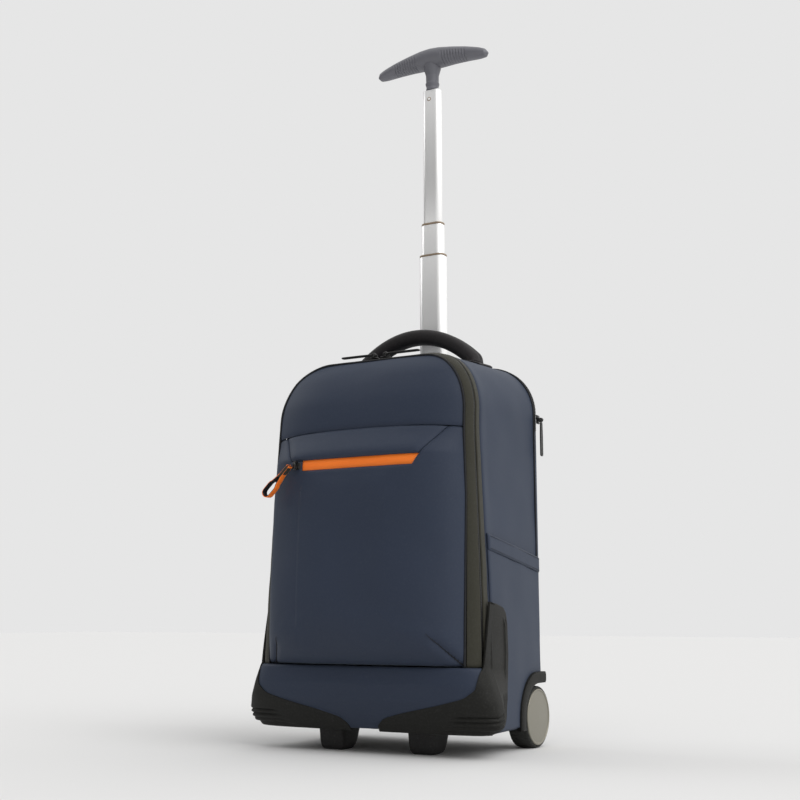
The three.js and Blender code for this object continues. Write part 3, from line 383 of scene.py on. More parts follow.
def roundBlock(shape, size, place, turn=Matrix.Identity(4), edge=0.8, segments=3, taper=None):
    made = bmesh.ops.create_cube(shape, size=1)
    points = made["verts"]
    bmesh.ops.scale(shape, vec=Vector(size) * mm, verts=points)
    if taper:
        for point in points:
            share = taper(point.co)
            point.co.x *= share
            point.co.y *= share
    edges = list({link for point in points for link in point.link_edges})
    rounded = bmesh.ops.bevel(shape, geom=edges, offset=edge * mm, segments=segments, profile=0.5,
                              affect="EDGES", material=-1)
    solid = list({v for v in rounded["verts"]} | {v for v in points if v.is_valid})
    bmesh.ops.transform(shape, matrix=Matrix.Translation(place) @ turn, verts=solid)
    return solid


def stitchRow(shape, path, pitch=3.2, length=2.2, thick=0.32):       # a row of short raised threads
    travelled = 0.0
    last = 0.0
    for a, b in zip(path, path[1:]):
        step = (b - a).length / mm
        while last + pitch <= travelled + step:
            last += pitch
            centre = a.lerp(b, (last - travelled) / step)
            along = (b - a).normalized()
            thread = bmesh.ops.create_cone(shape, cap_ends=True, segments=5, radius1=thick * mm,
                                           radius2=thick * mm, depth=length * mm)["verts"]
            turn = along.to_track_quat("Z", "Y").to_matrix().to_4x4()
            bmesh.ops.transform(shape, matrix=Matrix.Translation(centre) @ turn, verts=thread)
        travelled += step


# The body's arches: one share runs up the left side, over the top and down the right
archShares = {"wall": 0.334, "corner": 0.438}
wallFoot = bag["underside"] - 3


def bodyHalf(z):
    return bag["halfWidth"] * softRead(bag["flare"], z / bag["height"])


def frontHalf(z):
    return min(bodyHalf(z) - 9.5, bag["halfWidth"] * 0.945)


def frontEdge(z):
    return softRead(bag["lean"], z / bag["height"], 0.012)


def gussetBack(z):
    return frontEdge(z) + softRead(bag["gussetDeep"], z / bag["height"])


def halfOf(arch, z):
    if arch is frontArch:
        return frontHalf(z)
    return bodyHalf(z) if arch is gussetArch else bag["halfWidth"]


def archPoint(share, arch, grow=0.0, foot=wallFoot):
    side = -1 if share < 0.5 else 1
    rise = min(share, 1 - share)
    wide, tall, top = arch["wide"] + grow, arch["tall"] + grow, arch["top"] + grow
    shoulder = top - tall
    if rise < archShares["wall"]:
        z = mix(foot, shoulder, rise / archShares["wall"])
        return Vector((side * (halfOf(arch, z) + grow), z))
    run = halfOf(arch, shoulder) + grow - wide
    if rise < archShares["corner"]:
        turn = (rise - archShares["wall"]) / (archShares["corner"] - archShares["wall"]) * math.pi / 2
        return Vector((side * (run + wide * math.cos(turn)), shoulder + tall * math.sin(turn)))
    flat = (0.5 - rise) / (0.5 - archShares["corner"])
    return Vector((side * run * flat, top))


gussetSection = {
    "out": {0: 0.04, 0.25: 0.5, 0.5: 0.85, 0.75: 1, 1: 1},
    "back": {0: 0, 0.25: 0.12, 0.5: 0.3, 0.75: 0.48, 1: 1},
}


def gussetPoint(share, along, depth=0.0, foot=wallFoot):
    front = archPoint(share, frontArch, bag["gap"], foot)
    side = archPoint(share, gussetArch, -depth, foot)
    out = softRead(gussetSection["out"], along, 0.1)
    spot = front.lerp(side, out)
    z = archPoint(share, gussetArch, 0, foot).y
    deep = gussetBack(z) - frontEdge(z)
    back = frontEdge(z) + deep * softRead(gussetSection["back"], along, 0.1) + depth * (1 - out)
    return at(spot.x, back, spot.y)


shellInset = {0: 0, 0.94: 0, 0.96: 0.05, 0.98: 0.2, 0.992: 0.5, 1: 1}
shellRound = 6


def shellPoint(share, run, grow=0.0, foot=wallFoot):
    inward = grow - shellRound * read(shellInset, run)
    front = archPoint(share, gussetArch, inward, foot)
    back = archPoint(share, backArch, inward, foot)
    start = gussetBack(archPoint(share, gussetArch, 0, foot).y) + bag["gap"]
    spot = front.lerp(back, run)
    return at(spot.x, mix(start, bag["backPlane"], run), spot.y)


def shellReach(y, z):
    start = gussetBack(z) + bag["gap"]
    return mix(bodyHalf(z), bag["halfWidth"], clamp((y - start) / (bag["backPlane"] - start)))


hemShare = archShares["wall"] * (bag["hem"] - wallFoot) / (gussetArch["top"] - gussetArch["tall"] - wallFoot)
outOfBag = lambda spot: spot - Vector((0, toeY + 0.1, 0.26))

# Front pads
pads = {
    "seam": 393, "seamBow": 4.5, "topRise": 22, "pocketRise": 38, "plateau": 4, "hemRoll": 46, "hemStart": 0.24,
    "yokeFoot": 359, "yokeTopHalf": 124, "yokeFootHalf": 92, "flashFoot": 346, "flashInset": 18,
    "flashSlant": 8, "flashRecess": 4, "seamRoll": 7, "seamDeep": 2.6, "thick": 4,
}


def crown(share, power, fall):
    return max(0.0, 1 - abs(share) ** power) ** fall


def frontWidthAt(z):
    shoulder = frontArch["top"] - frontArch["tall"]
    if z <= shoulder:
        return frontHalf(z)
    t = min(1.0, (z - shoulder) / frontArch["tall"])
    return frontHalf(shoulder) - frontArch["wide"] * (1 - math.sqrt(max(0, 1 - t * t)))


def seamAt(x):
    return pads["seam"] + pads["seamBow"] * (1 - (x / frontHalf(pads["seam"])) ** 2)


def topFace(x, z):
    up = clamp((z - pads["seam"]) / (frontArch["top"] - pads["seam"]))
    side = min(1.0, abs(x) / frontWidthAt(z))
    return frontEdge(z) - pads["topRise"] * crown(side, 4, 0.8) * crown(up, 2.6, 0.8)


def pocketFace(x, z):
    side = min(1.0, abs(x) / frontHalf(z))
    seamRise = pads["topRise"] * crown(side, 4, 0.8)
    middle = pads["pocketRise"] + pads["plateau"] * crown((z - pads["seam"] / 2) / pads["seam"], 2, 1)
    full = middle * crown(side, 5, 0.75)
    down = clamp((seamAt(x) - z) / (pads["seam"] - pads["yokeFoot"]))
    roll = clamp((z - bag["hem"]) / pads["hemRoll"])
    hem = pads["hemStart"] + (1 - pads["hemStart"]) * (1 - (1 - roll) ** 2.4)
    return frontEdge(z) - mix(seamRise, full, ease(down) * 0.5 + down * 0.5) * hem


def rollIn(distance, reach, deep):      # how far a pad's face falls back near its seam
    t = clamp(distance / reach)
    return deep * (1 - math.sqrt(1 - (1 - t) ** 2))


def lineDistance(x, z, a, b):       # from a line through a and b, positive on its left
    dx, dz = b[0] - a[0], b[1] - a[1]
    return (dx * (z - a[1]) - dz * (x - a[0])) / math.hypot(dx, dz)


yokeLeft = ((-pads["yokeTopHalf"], pads["seam"] + 9), (-pads["yokeFootHalf"], pads["yokeFoot"]))
yokeRight = ((pads["yokeFootHalf"], pads["yokeFoot"]), (pads["yokeTopHalf"], pads["seam"] + 9))
flashLeft = -pads["yokeFootHalf"] + pads["flashInset"]
flashRight = ((pads["yokeFootHalf"] - pads["flashSlant"], pads["flashFoot"]),
              (pads["yokeFootHalf"], pads["yokeFoot"]))


def inYoke(x, z):       # distance inside the yoke's outline, negative outside
    return min(lineDistance(x, z, *yokeLeft), lineDistance(x, z, *yokeRight), z - pads["yokeFoot"])


def inFlash(x, z):
    return min(x - flashLeft, lineDistance(x, z, *flashRight), z - pads["flashFoot"], pads["yokeFoot"] - z)


darts = (
    {"from": (-109, 140), "bend": (-115, 124), "to": (-128, 107), "deep": 3.4, "wide": 12},
    {"from": (104, 145), "bend": (120, 127), "to": (137, 107), "deep": 3.4, "wide": 12},
)


def dartPlace(dart, t):
    return [mix(mix(a, b, t), mix(b, c, t), t) for a, b, c in zip(dart["from"], dart["bend"], dart["to"])]


def dartFall(x, z):     # how far the pocket's face falls back into the curved creases over the hem
    fall = 0.0
    for dart in darts:
        best = 1e9
        share = 0.0
        for i in range(13):
            t = i / 12
            dartX, dartZ = dartPlace(dart, t)
            distance = math.hypot(x - dartX, z - dartZ)
            if distance < best:
                best, share = distance, t
        sharp = max(0.0, 1 - best / 2.4)
        fall += ease(share * 2.5) * (dart["deep"] * max(0.0, 1 - best / dart["wide"]) ** 2 + 1.6 * sharp)
    return fall


def clothSwell(x, z, size, deep):       # slow unevenness of the padding
    return deep * noise.noise(Vector((x / size, 0.3, z / size)))


def cutFlat(shape, a, b):       # splits the flat pad along the line from a to b on the front view
    along = Vector((b[0] - a[0], 0, b[1] - a[1])).normalized()
    across = along.cross(Vector((0, 1, 0)))
    everything = shape.verts[:] + shape.edges[:] + shape.faces[:]
    bmesh.ops.bisect_plane(shape, geom=everything, dist=1e-7, plane_co=Vector((a[0], 0, a[1])), plane_no=across)


def flatPad(columns, rows, low, high, half):        # a flat sheet between two heights and the bag's sides
    def place(u, v):
        base = mix(low(0), high(0), v)
        x = math.sin((2 * u - 1) * math.pi / 2) * half(base)
        return Vector((x, 0, mix(low(x), high(x), v)))
    return clothGrid(columns, rows, place, (0.29, 0.3))


def keepFaces(shape, wanted):
    unwanted = [face for face in shape.faces if not wanted(face.calc_center_median())]
    bmesh.ops.delete(shape, geom=unwanted, context="FACES")
    bmesh.ops.remove_doubles(shape, verts=shape.verts, dist=0.02)


def inflate(piece, cap, held=None, pressure=4.0, spare=0.0):      # fills a sewn sheet by a short cloth simulation
    mesh = piece.data
    flat = [point.co.copy() for point in mesh.vertices]
    probe = bmesh.new()
    probe.from_mesh(mesh)
    rim = [point.index for point in probe.verts if point.is_boundary or held and held(point.co)]
    probe.free()
    pins = piece.vertex_groups.new(name="sewn")
    pins.add(rim, 1, "REPLACE")
    cloth = piece.modifiers.new("fill", "CLOTH")
    settings = cloth.settings
    settings.quality = 5
    settings.vertex_group_mass = pins.name
    settings.use_pressure = True
    settings.uniform_pressure_force = pressure
    settings.shrink_min = -spare
    settings.tension_stiffness = 30
    settings.compression_stiffness = 30
    settings.bending_stiffness = 6
    settings.effector_weights.gravity = 0
    for frame in range(1, 21):
        scene.frame_set(frame)
    shown = piece.evaluated_get(bpy.context.evaluated_depsgraph_get())
    moved = [point.co.copy() for point in shown.data.vertices]
    piece.modifiers.remove(cloth)
    piece.vertex_groups.remove(pins)
    steps = [b - a for a, b in zip(flat, moved)]
    steps = [step.normalized() * min(step.length, cap * mm) for step in steps]
    still = set(rim)
    joined = [[] for _ in steps]
    for edge in mesh.edges:
        a, b = edge.vertices
        joined[a].append(b)
        joined[b].append(a)
    for _ in range(14):     # padding shows no small puckers
        steps = [Vector() if i in still else sum((steps[j] for j in joined[i]), steps[i]) / (len(joined[i]) + 1)
                 for i in range(len(steps))]
    for point, a, step in zip(mesh.vertices, flat, steps):
        point.co = a + step
    scene.frame_set(1)
    print("filled", piece.name)


def padPiece(name, shape, depthAt, material, replaced, thick, held=None):
    for point in shape.verts:
        x, z = point.co.x, point.co.z
        point.co = at(x, depthAt(x, z), z)
    faceOut(shape, lambda spot: Vector((0, -1, 0)))
    piece = makePiece(name, shape, material, "root", replaced)
    inflate(piece, 2.5, held)
    thicken(piece, thick)
    return piece


def pocketDepth(x, z):
    y = pocketFace(x, z) + dartFall(x, z) + clothSwell(x, z, 60, 1.4)
    if z > pads["flashFoot"] - 20:
        y += rollIn(max(0, -inYoke(x, z)), pads["seamRoll"], pads["seamDeep"])
        y += rollIn(max(0, -inFlash(x, z)), 5, 2.2)
    return y + rollIn(seamAt(x) - 0.3 - z, 6, 2.4) + rollIn(z - bag["hem"] - 0.4, 8, 4)


def buildFront():
    low, seam = bag["hem"] + 0.4, lambda x: seamAt(x) - 0.3
    hem = lambda x: low
    half = lambda z: frontHalf(z) - 0.3

    pocket = flatPad(150, 150, hem, seam, half)
    for line in (yokeLeft, yokeRight, flashRight):
        cutFlat(pocket, *line)
    for z in (pads["yokeFoot"], pads["flashFoot"]):
        cutFlat(pocket, (-200, z), (200, z))
    cutFlat(pocket, (flashLeft, 300), (flashLeft, 400))
    keepFaces(pocket, lambda c: inYoke(c.x, c.z) < 0 and inFlash(c.x, c.z) < 0)
    padPiece("pocketPanel", pocket, pocketDepth, navyCloth, ("pocket_panel",), pads["thick"],
             lambda spot: dartFall(spot.x / mm, spot.z / mm) > 1.2)

    def yokeDepth(x, z):
        y = pocketFace(x, z) + clothSwell(x, z, 50, 1.0) - 1.6 * ease(inYoke(x, z) / 14)
        y += rollIn(inYoke(x, z), pads["seamRoll"], pads["seamDeep"]) + rollIn(seam(x) - z, 6, 2.4)
        return y

    yoke = flatPad(150, 40, lambda x: pads["yokeFoot"], seam, half)
    for line in (yokeLeft, yokeRight):
        cutFlat(yoke, *line)
    keepFaces(yoke, lambda c: inYoke(c.x, c.z) > -0.01)
    padPiece("yokePanel", yoke, yokeDepth, navyCloth, ("yoke_panel",), pads["thick"] + 2)

    def flashDepth(x, z):
        return pocketFace(x, z) + pads["flashRecess"] - 1.2 * math.sin((z - pads["flashFoot"]) / 13 * math.pi)

    flash = flatPad(120, 10, lambda x: pads["flashFoot"] - 1.5, lambda x: pads["yokeFoot"] + 2,
                    lambda z: pads["yokeFootHalf"] + 1)
    cutFlat(flash, (flashLeft - 1, 300), (flashLeft - 1, 400))
    keepFaces(flash, lambda c: c.x > flashLeft - 1)
    for point in flash.verts:
        point.co = at(point.co.x, flashDepth(point.co.x, point.co.z), point.co.z)
    faceOut(flash, lambda spot: Vector((0, -1, 0)))
    strip = makePiece("zipFlash", flash, orangeTape, "root", ("zip_flash",))
    thicken(strip, 1.4)

    def topPlace(u, v):
        z = mix(pads["seam"], frontArch["top"] - 0.3, v ** 0.8)
        x = math.sin((2 * u - 1) * math.pi / 2) * (frontWidthAt(z) - 0.3)
        low = seamAt(x) + 0.3
        spread = (z - pads["seam"]) / (frontArch["top"] - pads["seam"])
        return Vector((x, 0, mix(low, max(low, z), ease(spread * 6))))

    def topDepth(x, z):
        y = topFace(x, z) + clothSwell(x, z, 70, 1.2)
        return y + rollIn(z - seamAt(x), 7, 2.4)

    top = clothGrid(150, 60, topPlace, (0.28, 0.1))
    padPiece("topPanel", top, topDepth, navyCloth, ("top_panel",), pads["thick"])


buildFront()
print("front pads made")

# Grids that close round a path or a lathe, and grids with a relief along their own normals
def reliefGrid(columns, rows, place, outward, relief, cloth=(1, 1)):
    shape = bmesh.new()
    bmesh.ops.create_grid(shape, x_segments=columns, y_segments=rows, size=0.5)
    layer = shape.loops.layers.uv.new("UVMap")
    for face in shape.faces:
        for corner in face.loops:
            corner[layer].uv = ((corner.vert.co.x + 0.5) * cloth[0], (corner.vert.co.y + 0.5) * cloth[1])
    shares = [(clamp(point.co.x + 0.5), clamp(point.co.y + 0.5)) for point in shape.verts]
    for point, share in zip(shape.verts, shares):
        point.co = place(*share)
    faceOut(shape, outward)
    moves = [point.normal * relief(*share) * mm for point, share in zip(shape.verts, shares)]
    for point, move in zip(shape.verts, moves):
        point.co += move
    shape.normal_update()
    return shape


def closeUp(shape, merge=1e-6, fill=True):      # joins a grid's meeting edges, fills its ends
    bmesh.ops.remove_doubles(shape, verts=shape.verts, dist=merge)
    if fill:
        rims = [edge for edge in shape.edges if edge.is_boundary]
        bmesh.ops.holes_fill(shape, edges=rims, sides=0)
    bmesh.ops.recalc_face_normals(shape, faces=shape.faces)
    return shape


def along(path, share):     # the place at a share of a path's points
    spot = clamp(share) * (len(path) - 1)
    i = min(int(spot), len(path) - 2)
    return path[i].lerp(path[i + 1], spot - i)


def evenPath(path, count):      # the same path with its points at even distances
    reach = [0.0]
    for a, b in zip(path, path[1:]):
        reach.append(reach[-1] + (b - a).length)
    result = []
    j = 0
    for i in range(count + 1):
        goal = reach[-1] * i / count
        while j < len(path) - 2 and reach[j + 1] < goal:
            j += 1
        step = reach[j + 1] - reach[j]
        result.append(path[j].lerp(path[j + 1], (goal - reach[j]) / step if step else 0))
    return result


def cordGrid(path, radius, sides=10, closed=False, flat=1.0, up=Vector((0, 1, 0)), fill=True):
    count = len(path) - 1 if not closed else len(path)
    length = sum((b - a).length for a, b in zip(path, path[1:]))

    def place(u, v):
        i = round(v * count)
        here = path[i % len(path)]
        before = path[(i - 1) % len(path)] if closed or i else here
        after = path[(i + 1) % len(path)] if closed or i < count else here
        direction = (after - before).normalized()
        side = direction.cross(up).normalized()
        over = side.cross(direction)
        size = radius(v) if callable(radius) else radius
        angle = 2 * math.pi * u
        return here + (side * math.cos(angle) + over * flat * math.sin(angle)) * size * mm

    shape = clothGrid(sides, count, place, (0.01, length))
    return closeUp(shape, fill=fill and not closed)


def roundBox(share, wide, deep, corner):        # a place on a rounded box's outline, from its right side round
    corner = min(corner, wide / 2 - 0.01, deep / 2 - 0.01)
    flatX, flatY = wide / 2 - corner, deep / 2 - corner
    turn = math.pi / 2 * corner
    runs = [(2 * flatY, 0), (turn, 1), (2 * flatX, 0), (turn, 1)] * 2
    total = sum(run for run, bent in runs)
    left = (share % 1.0) * total
    spot = Vector((wide / 2, -flatY))
    heading = math.pi / 2
    for run, bent in runs:
        step = min(left, run)
        if bent:
            angle = step / corner
            centre = spot + Vector((math.cos(heading + math.pi / 2), math.sin(heading + math.pi / 2))) * corner
            start = heading - math.pi / 2
            spot = centre + Vector((math.cos(start + angle), math.sin(start + angle))) * corner
            heading += angle
        else:
            spot = spot + Vector((math.cos(heading), math.sin(heading))) * step
        left -= step
        if left <= 1e-9:
            break
    return spot


def boxLoft(rows, around=64, middle=(0, 0), closed=False):     # rows of (wide, deep, corner, z)
    count = len(rows) if closed else len(rows) - 1

    def place(u, v):
        wide, deep, corner, z = rows[round(v * count) % len(rows)]
        spot = roundBox(u, wide, deep, corner)
        return at(middle[0] + spot.x, middle[1] + spot.y, z)

    tall = abs(rows[-1][3] - rows[0][3]) * mm
    return clothGrid(around, count, place, (0.12, max(tall, 0.01)))


def latheGrid(profile, axis, around=96, relief=None):    # rows of (radius, along the axis), turned round x or z
    origin, side = axis
    count = len(profile) - 1

    def place(u, v):
        radius, out = profile[round(v * count)]
        angle = 2 * math.pi * u
        if relief:
            radius += relief(angle, v)
        if side == 0:
            return at(origin[0] + radius * math.cos(angle), origin[1] + radius * math.sin(angle), out)
        return at(side * out, origin[0] + radius * math.cos(angle), origin[1] + radius * math.sin(angle))

    shape = clothGrid(around, count, place, (0.2, 0.05))
    return closeUp(shape)


def softProfile(profile, rounds=2):     # cuts the corners of a profile so that its edges are rounded
    for _ in range(rounds):
        cut = [profile[0]]
        for a, b in zip(profile, profile[1:]):
            cut.append(tuple(mix(p, q, 0.25) for p, q in zip(a, b)))
            cut.append(tuple(mix(p, q, 0.75) for p, q in zip(a, b)))
        profile = cut + [profile[-1]]
    return profile


# Piping and the two black strips of the gusset, with the zip between them
gusset = {"zip": 0.7, "zipHalf": 0.057, "seam": 0.012, "thick": 2.2, "columns": 220, "piping": 1.5}


def archShare(u):       # evens the steps over the arch's foot, walls, corners and top
    return mix(hemShare, 1 - hemShare, u)


def buildPiping():
    path = []
    for i in range(241):
        share = archShare(i / 240)
        spot = archPoint(share, frontArch, 0.1)
        path.append(at(spot.x, frontEdge(spot.y) - 0.8, spot.y))
    shape = cordGrid(evenPath(path, 300), gusset["piping"], 8)
    makePiece("frontPiping", shape, pipingCloth)


# Thin black cords laid along the pocket's two darts: painted shade, dark lines that stand in for the shade in each
# dart's crease
def buildDartShadeCords():
    for name, dart in zip(("Left", "Right"), darts):
        line = []
        for i in range(25):
            x, z = dartPlace(dart, i / 24)
            line.append(at(x, pocketDepth(x, z) - 0.8, z))
        shape = cordGrid(evenPath(line, 24), lambda v: mix(0.3, 0.8, v), 6)
        makePiece("dartSeam" + name, shape, pipingCloth)


def buildGusset():
    def strip(name, low, high, rows, replaced, groove):
        def relief(u, v):
            share = mix(low, high, v)
            fall = rollIn(abs(share - groove) * 45, 2.0, 1.3)
            spot = gussetPoint(archShare(u), share) / mm
            return 0.5 * noise.noise(spot / 26) - fall
        shape = reliefGrid(gusset["columns"], rows, lambda u, v: gussetPoint(archShare(u), mix(low, high, v)),
                           outOfBag, relief, (1.15, 0.03))
        piece = makePiece(name, shape, blackCloth, "root", (replaced,))
        thicken(piece, gusset["thick"])

    zipLow, zipHigh = gusset["zip"] - gusset["zipHalf"], gusset["zip"] + gusset["zipHalf"]
    strip("gussetFront", 0.0, zipLow - 0.004, 14, "gusset_front", zipLow - 0.004)
    strip("gussetRear", zipHigh + 0.004, 1 - gusset["seam"], 8, "gusset_rear", zipHigh + 0.004)
    tape = clothGrid(gusset["columns"], 3, lambda u, v: gussetPoint(archShare(u), mix(zipLow - 0.02, zipHigh + 0.02, v), 1.5),
                     (1.15, 0.006))
    faceOut(tape, outOfBag)
    thicken(makePiece("mainZip", tape, zipTape, "root", ("main_zip",)), 0.6)
    middle = [gussetPoint(archShare(i / 500), gusset["zip"], 1.2) for i in range(501)]
    front = [gussetPoint(archShare(i / 500), zipLow, 1.2) for i in range(501)]
    buildTeeth("mainZipTeeth", middle, front, 2.0, (1.15, 2.4, 0.9))


def buildTeeth(name, middle, beside, pitch, size):      # one small rounded tooth at each step
    shape = bmesh.new()
    length = sum((b - a).length for a, b in zip(middle, middle[1:])) / mm
    count = int(length / pitch)
    line = evenPath(middle, count)
    edge = evenPath(beside, count)
    for i in range(1, count):
        forward = (line[i + 1] - line[i - 1]).normalized()
        across = (edge[i] - line[i])
        across = (across - forward * across.dot(forward)).normalized()
        above = forward.cross(across)
        turn = Matrix((forward, across, above)).transposed().to_4x4()
        points = bmesh.ops.create_cone(shape, cap_ends=True, segments=6, radius1=0.55, radius2=0.55, depth=1)["verts"]
        bmesh.ops.rotate(shape, cent=(0, 0, 0), matrix=Matrix.Rotation(math.pi / 2, 3, "X"), verts=points)
        bmesh.ops.scale(shape, vec=Vector(size) * mm, verts=points)
        bmesh.ops.transform(shape, matrix=Matrix.Translation(line[i]) @ turn, verts=points)
    makePiece(name, shape, sliderMetal, smooth=False)


buildPiping()
# painted shade: black cords in the dart creases
buildDartShadeCords()
buildGusset()
print("gusset and zip made")


# Side and top shell, open at the wheels and where the trolley goes in
shell = {"arch": 46, "axle": (164.2, 38.5), "slot": (44, 27), "thick": 2.4, "columns": 260, "rows": 56}


def inWheelArch(y, z, radius):
    back, up = y - shell["axle"][0], z - shell["axle"][1]
    if up > 0 and back < 0:
        return math.hypot(back, up) < radius
    return back > -radius and up < radius


def dropFaces(shape, unwanted):
    doomed = [face for face in shape.faces if unwanted(face.calc_center_median())]
    bmesh.ops.delete(shape, geom=doomed, context="FACES")


def toeSpot(point):     # back to millimetres counted from the toe
    return Vector((point.x / mm, (point.y - toeY) / mm, point.z / mm))


def buildShell():
    def relief(u, v):
        spot = toeSpot(shellPoint(u, v))
        dip = 0.9 * noise.noise(spot / 48) - 0.9
        if spot.z > bag["height"] - 6:
            dip *= 0.5
        nearSeam = rollIn(v * 145, 6, 1.6) + rollIn((0.94 - v) * 145 if v < 0.94 else 9, 3, 0.8)
        return dip * ease(v * 8) * ease((0.97 - v) * 10) - nearSeam

    def unwanted(centre):
        spot = toeSpot(centre)
        slotX, slotY = shell["slot"][0] / 2, shell["slot"][1] / 2
        slot = abs(spot.x) < slotX and abs(spot.y - bag["tubeBack"]) < slotY and spot.z > 400
        return slot or inWheelArch(spot.y, spot.z, shell["arch"])

    shape = reliefGrid(shell["columns"], shell["rows"], shellPoint, outOfBag, relief, (1.3, 0.16))
    dropFaces(shape, unwanted)
    piece = makePiece("sideShell", shape, navyCloth, "root", ("side_shell",))
    thicken(piece, shell["thick"])


buildShell()
print("shell made")


# Side pockets with a wide hem along the slanted mouth
sidePocket = {"front": 268, "back": 240, "band": 20, "wall": 1.5, "bandWall": 1.4, "end": 189, "arch": 46, "bow": 2.2}


def pocketMouth(y):
    return mix(sidePocket["front"], sidePocket["back"], clamp(y / bag["backPlane"]))


def buildSidePockets():
    start = gussetBack(sidePocket["back"]) + 2
    foot = bag["underside"] - 1
    for name, side in (("Left", -1), ("Right", 1)):
        def place(low, high, grow):
            def spot(u, v):
                y = mix(start, sidePocket["end"], u)
                z = mix(low(y), high(y), v)
                return at(side * (shellReach(y, z) + bag["gap"] + grow), y, z)
            return spot
        outward = lambda spot: Vector((side, 0, 0))

        def fullness(u, v):
            bow = sidePocket["bow"] * math.sin(math.pi * u) ** 0.7 * math.sin(math.pi * clamp(v * 0.9 + 0.06)) ** 0.7
            edge = rollIn(u * 140, 5, 1.0) + rollIn((1 - u) * 140, 5, 1.0)
            return bow * 0.5 + 0.6 * noise.noise(Vector((u * 4 + side, v * 5, 7))) - edge

        bag2 = reliefGrid(60, 80, place(lambda y: foot, lambda y: pocketMouth(y) - sidePocket["band"] + 1, sidePocket["wall"]),
                          outward, fullness, (0.14, 0.22))
        dropFaces(bag2, lambda c: inWheelArch(toeSpot(c).y, c.z / mm, sidePocket["arch"]))
        piece = makePiece("sidePocket" + name, bag2, navyCloth, "root", ("side_pocket_" + name.lower(),))
        thicken(piece, 1.3)

        def bandRelief(u, v):
            edge = rollIn(v * sidePocket["band"], 2.5, 1.0) + rollIn((1 - v) * sidePocket["band"], 3, 1.4)
            ends = rollIn(u * 140, 4, 1.4) + rollIn((1 - u) * 140, 4, 1.4)
            return 0.5 * math.sin(math.pi * u) + 0.3 * noise.noise(Vector((u * 7, v, side))) - edge - ends

        low = lambda y: pocketMouth(y) - sidePocket["band"]
        band = reliefGrid(60, 12, place(low, pocketMouth, sidePocket["wall"] + sidePocket["bandWall"]), outward,
                          bandRelief, (0.14, 0.02))
        piece = makePiece("pocketHem" + name, band, navyCloth, "root", ("pocket_hem_" + name.lower(),))
        thicken(piece, 2.6)
        rows = bmesh.new()
        for drop in (2.6, sidePocket["band"] - 2.4):
            line = []
            for i in range(41):
                y = mix(start + 4, sidePocket["end"] - 4, i / 40)
                z = pocketMouth(y) - drop
                grow = sidePocket["wall"] + sidePocket["bandWall"] + 0.35
                line.append(at(side * (shellReach(y, z) + bag["gap"] + grow), y, z))
            stitchRow(rows, line)
        makePiece("pocketStitch" + name, rows, pipingCloth)


buildSidePockets()
print("side pockets made")


# Toe wedge and the guards on its corners, on one family of plan curves up the height
toe = {
    "turn": 15, "reach": -26.5, "bow": 4, "guardProud": 1.6, "guardTop": 182, "guardFoot": 26.5, "wall": 2.6,
    "plan": {0.25: 1.07, 0.29: 1.13, 0.34: 1.185, 0.45: 1.2, 0.62: 1.175, 0.8: 1.13, 1: 1.078},
    "front": {0.25: 0.15, 0.29: 0.3, 0.34: 0.45, 0.45: 0.68, 0.62: 0.91, 0.8: 1, 1: 0.925},
    "edge": {0.25: 0.13, 0.33: 0.14, 0.41: 0.21, 0.48: 0.39, 0.58: 0.73, 0.66: 0.95, 0.76: 1.045, 0.93: 1.065,
             1: 1.078},
    "rear": {26.5: 15, 27.5: 16.5, 44: 35, 67: 56, 91: 64, 120: 68, 156: 68, 169: 64, 175.6: 56, 180: 35, 182: 14},
    "columns": 150, "rows": 130,
}


def toeHalf(z):
    return bag["halfWidth"] * softRead(toe["plan"], z / bag["hem"], 0.02)


def toeFront(z):
    return toe["reach"] * softRead(toe["front"], z / bag["hem"], 0.02)


def toeSurface(x, z, grow=0.0):
    reach = toeHalf(z) + grow
    front = toeFront(z) - grow
    inside = max(0.0, 1 - min(1.0, abs(x) / reach) ** toe["bow"])
    return toe["turn"] - (toe["turn"] - front) * inside ** (1 / toe["bow"])


def toeEdgeOut(z):
    return bag["halfWidth"] * softRead(toe["edge"], z / bag["hem"], 0.02)


def buildToe():
    def place(u, v):
        z = mix(bag["underside"], bag["hem"] - 0.3, v)
        half = min(toeEdgeOut(z) + 1.2, toeHalf(z) - 0.05)
        x = half * math.sin((2 * u - 1) * math.pi / 2)
        return at(x, toeSurface(x, z), z)

    def relief(u, v):
        return 0.7 * noise.noise(Vector((u * 5, v * 2.5, 3))) - rollIn((1 - v) * 75, 5, 2.4)

    shape = reliefGrid(120, 50, place, outOfBag, relief, (0.35, 0.08))
    piece = makePiece("toePanel", shape, navyCloth, "root", ("toe_panel",))
    thicken(piece, 2.4)


guardRib = {
    "grooves": (4.6, 10.2, 15.8, 21.4), "wide": 2.3, "deep": 2.4, "blend": 9, "top": 78, "fadeTop": 14,
    "frontFade": (-86, -62), "leftFade": (-40, -24), "strip": (8.5, 14.5), "stripHigh": 1.5, "lip": 2.2, "lipDeep": 1.5,
}


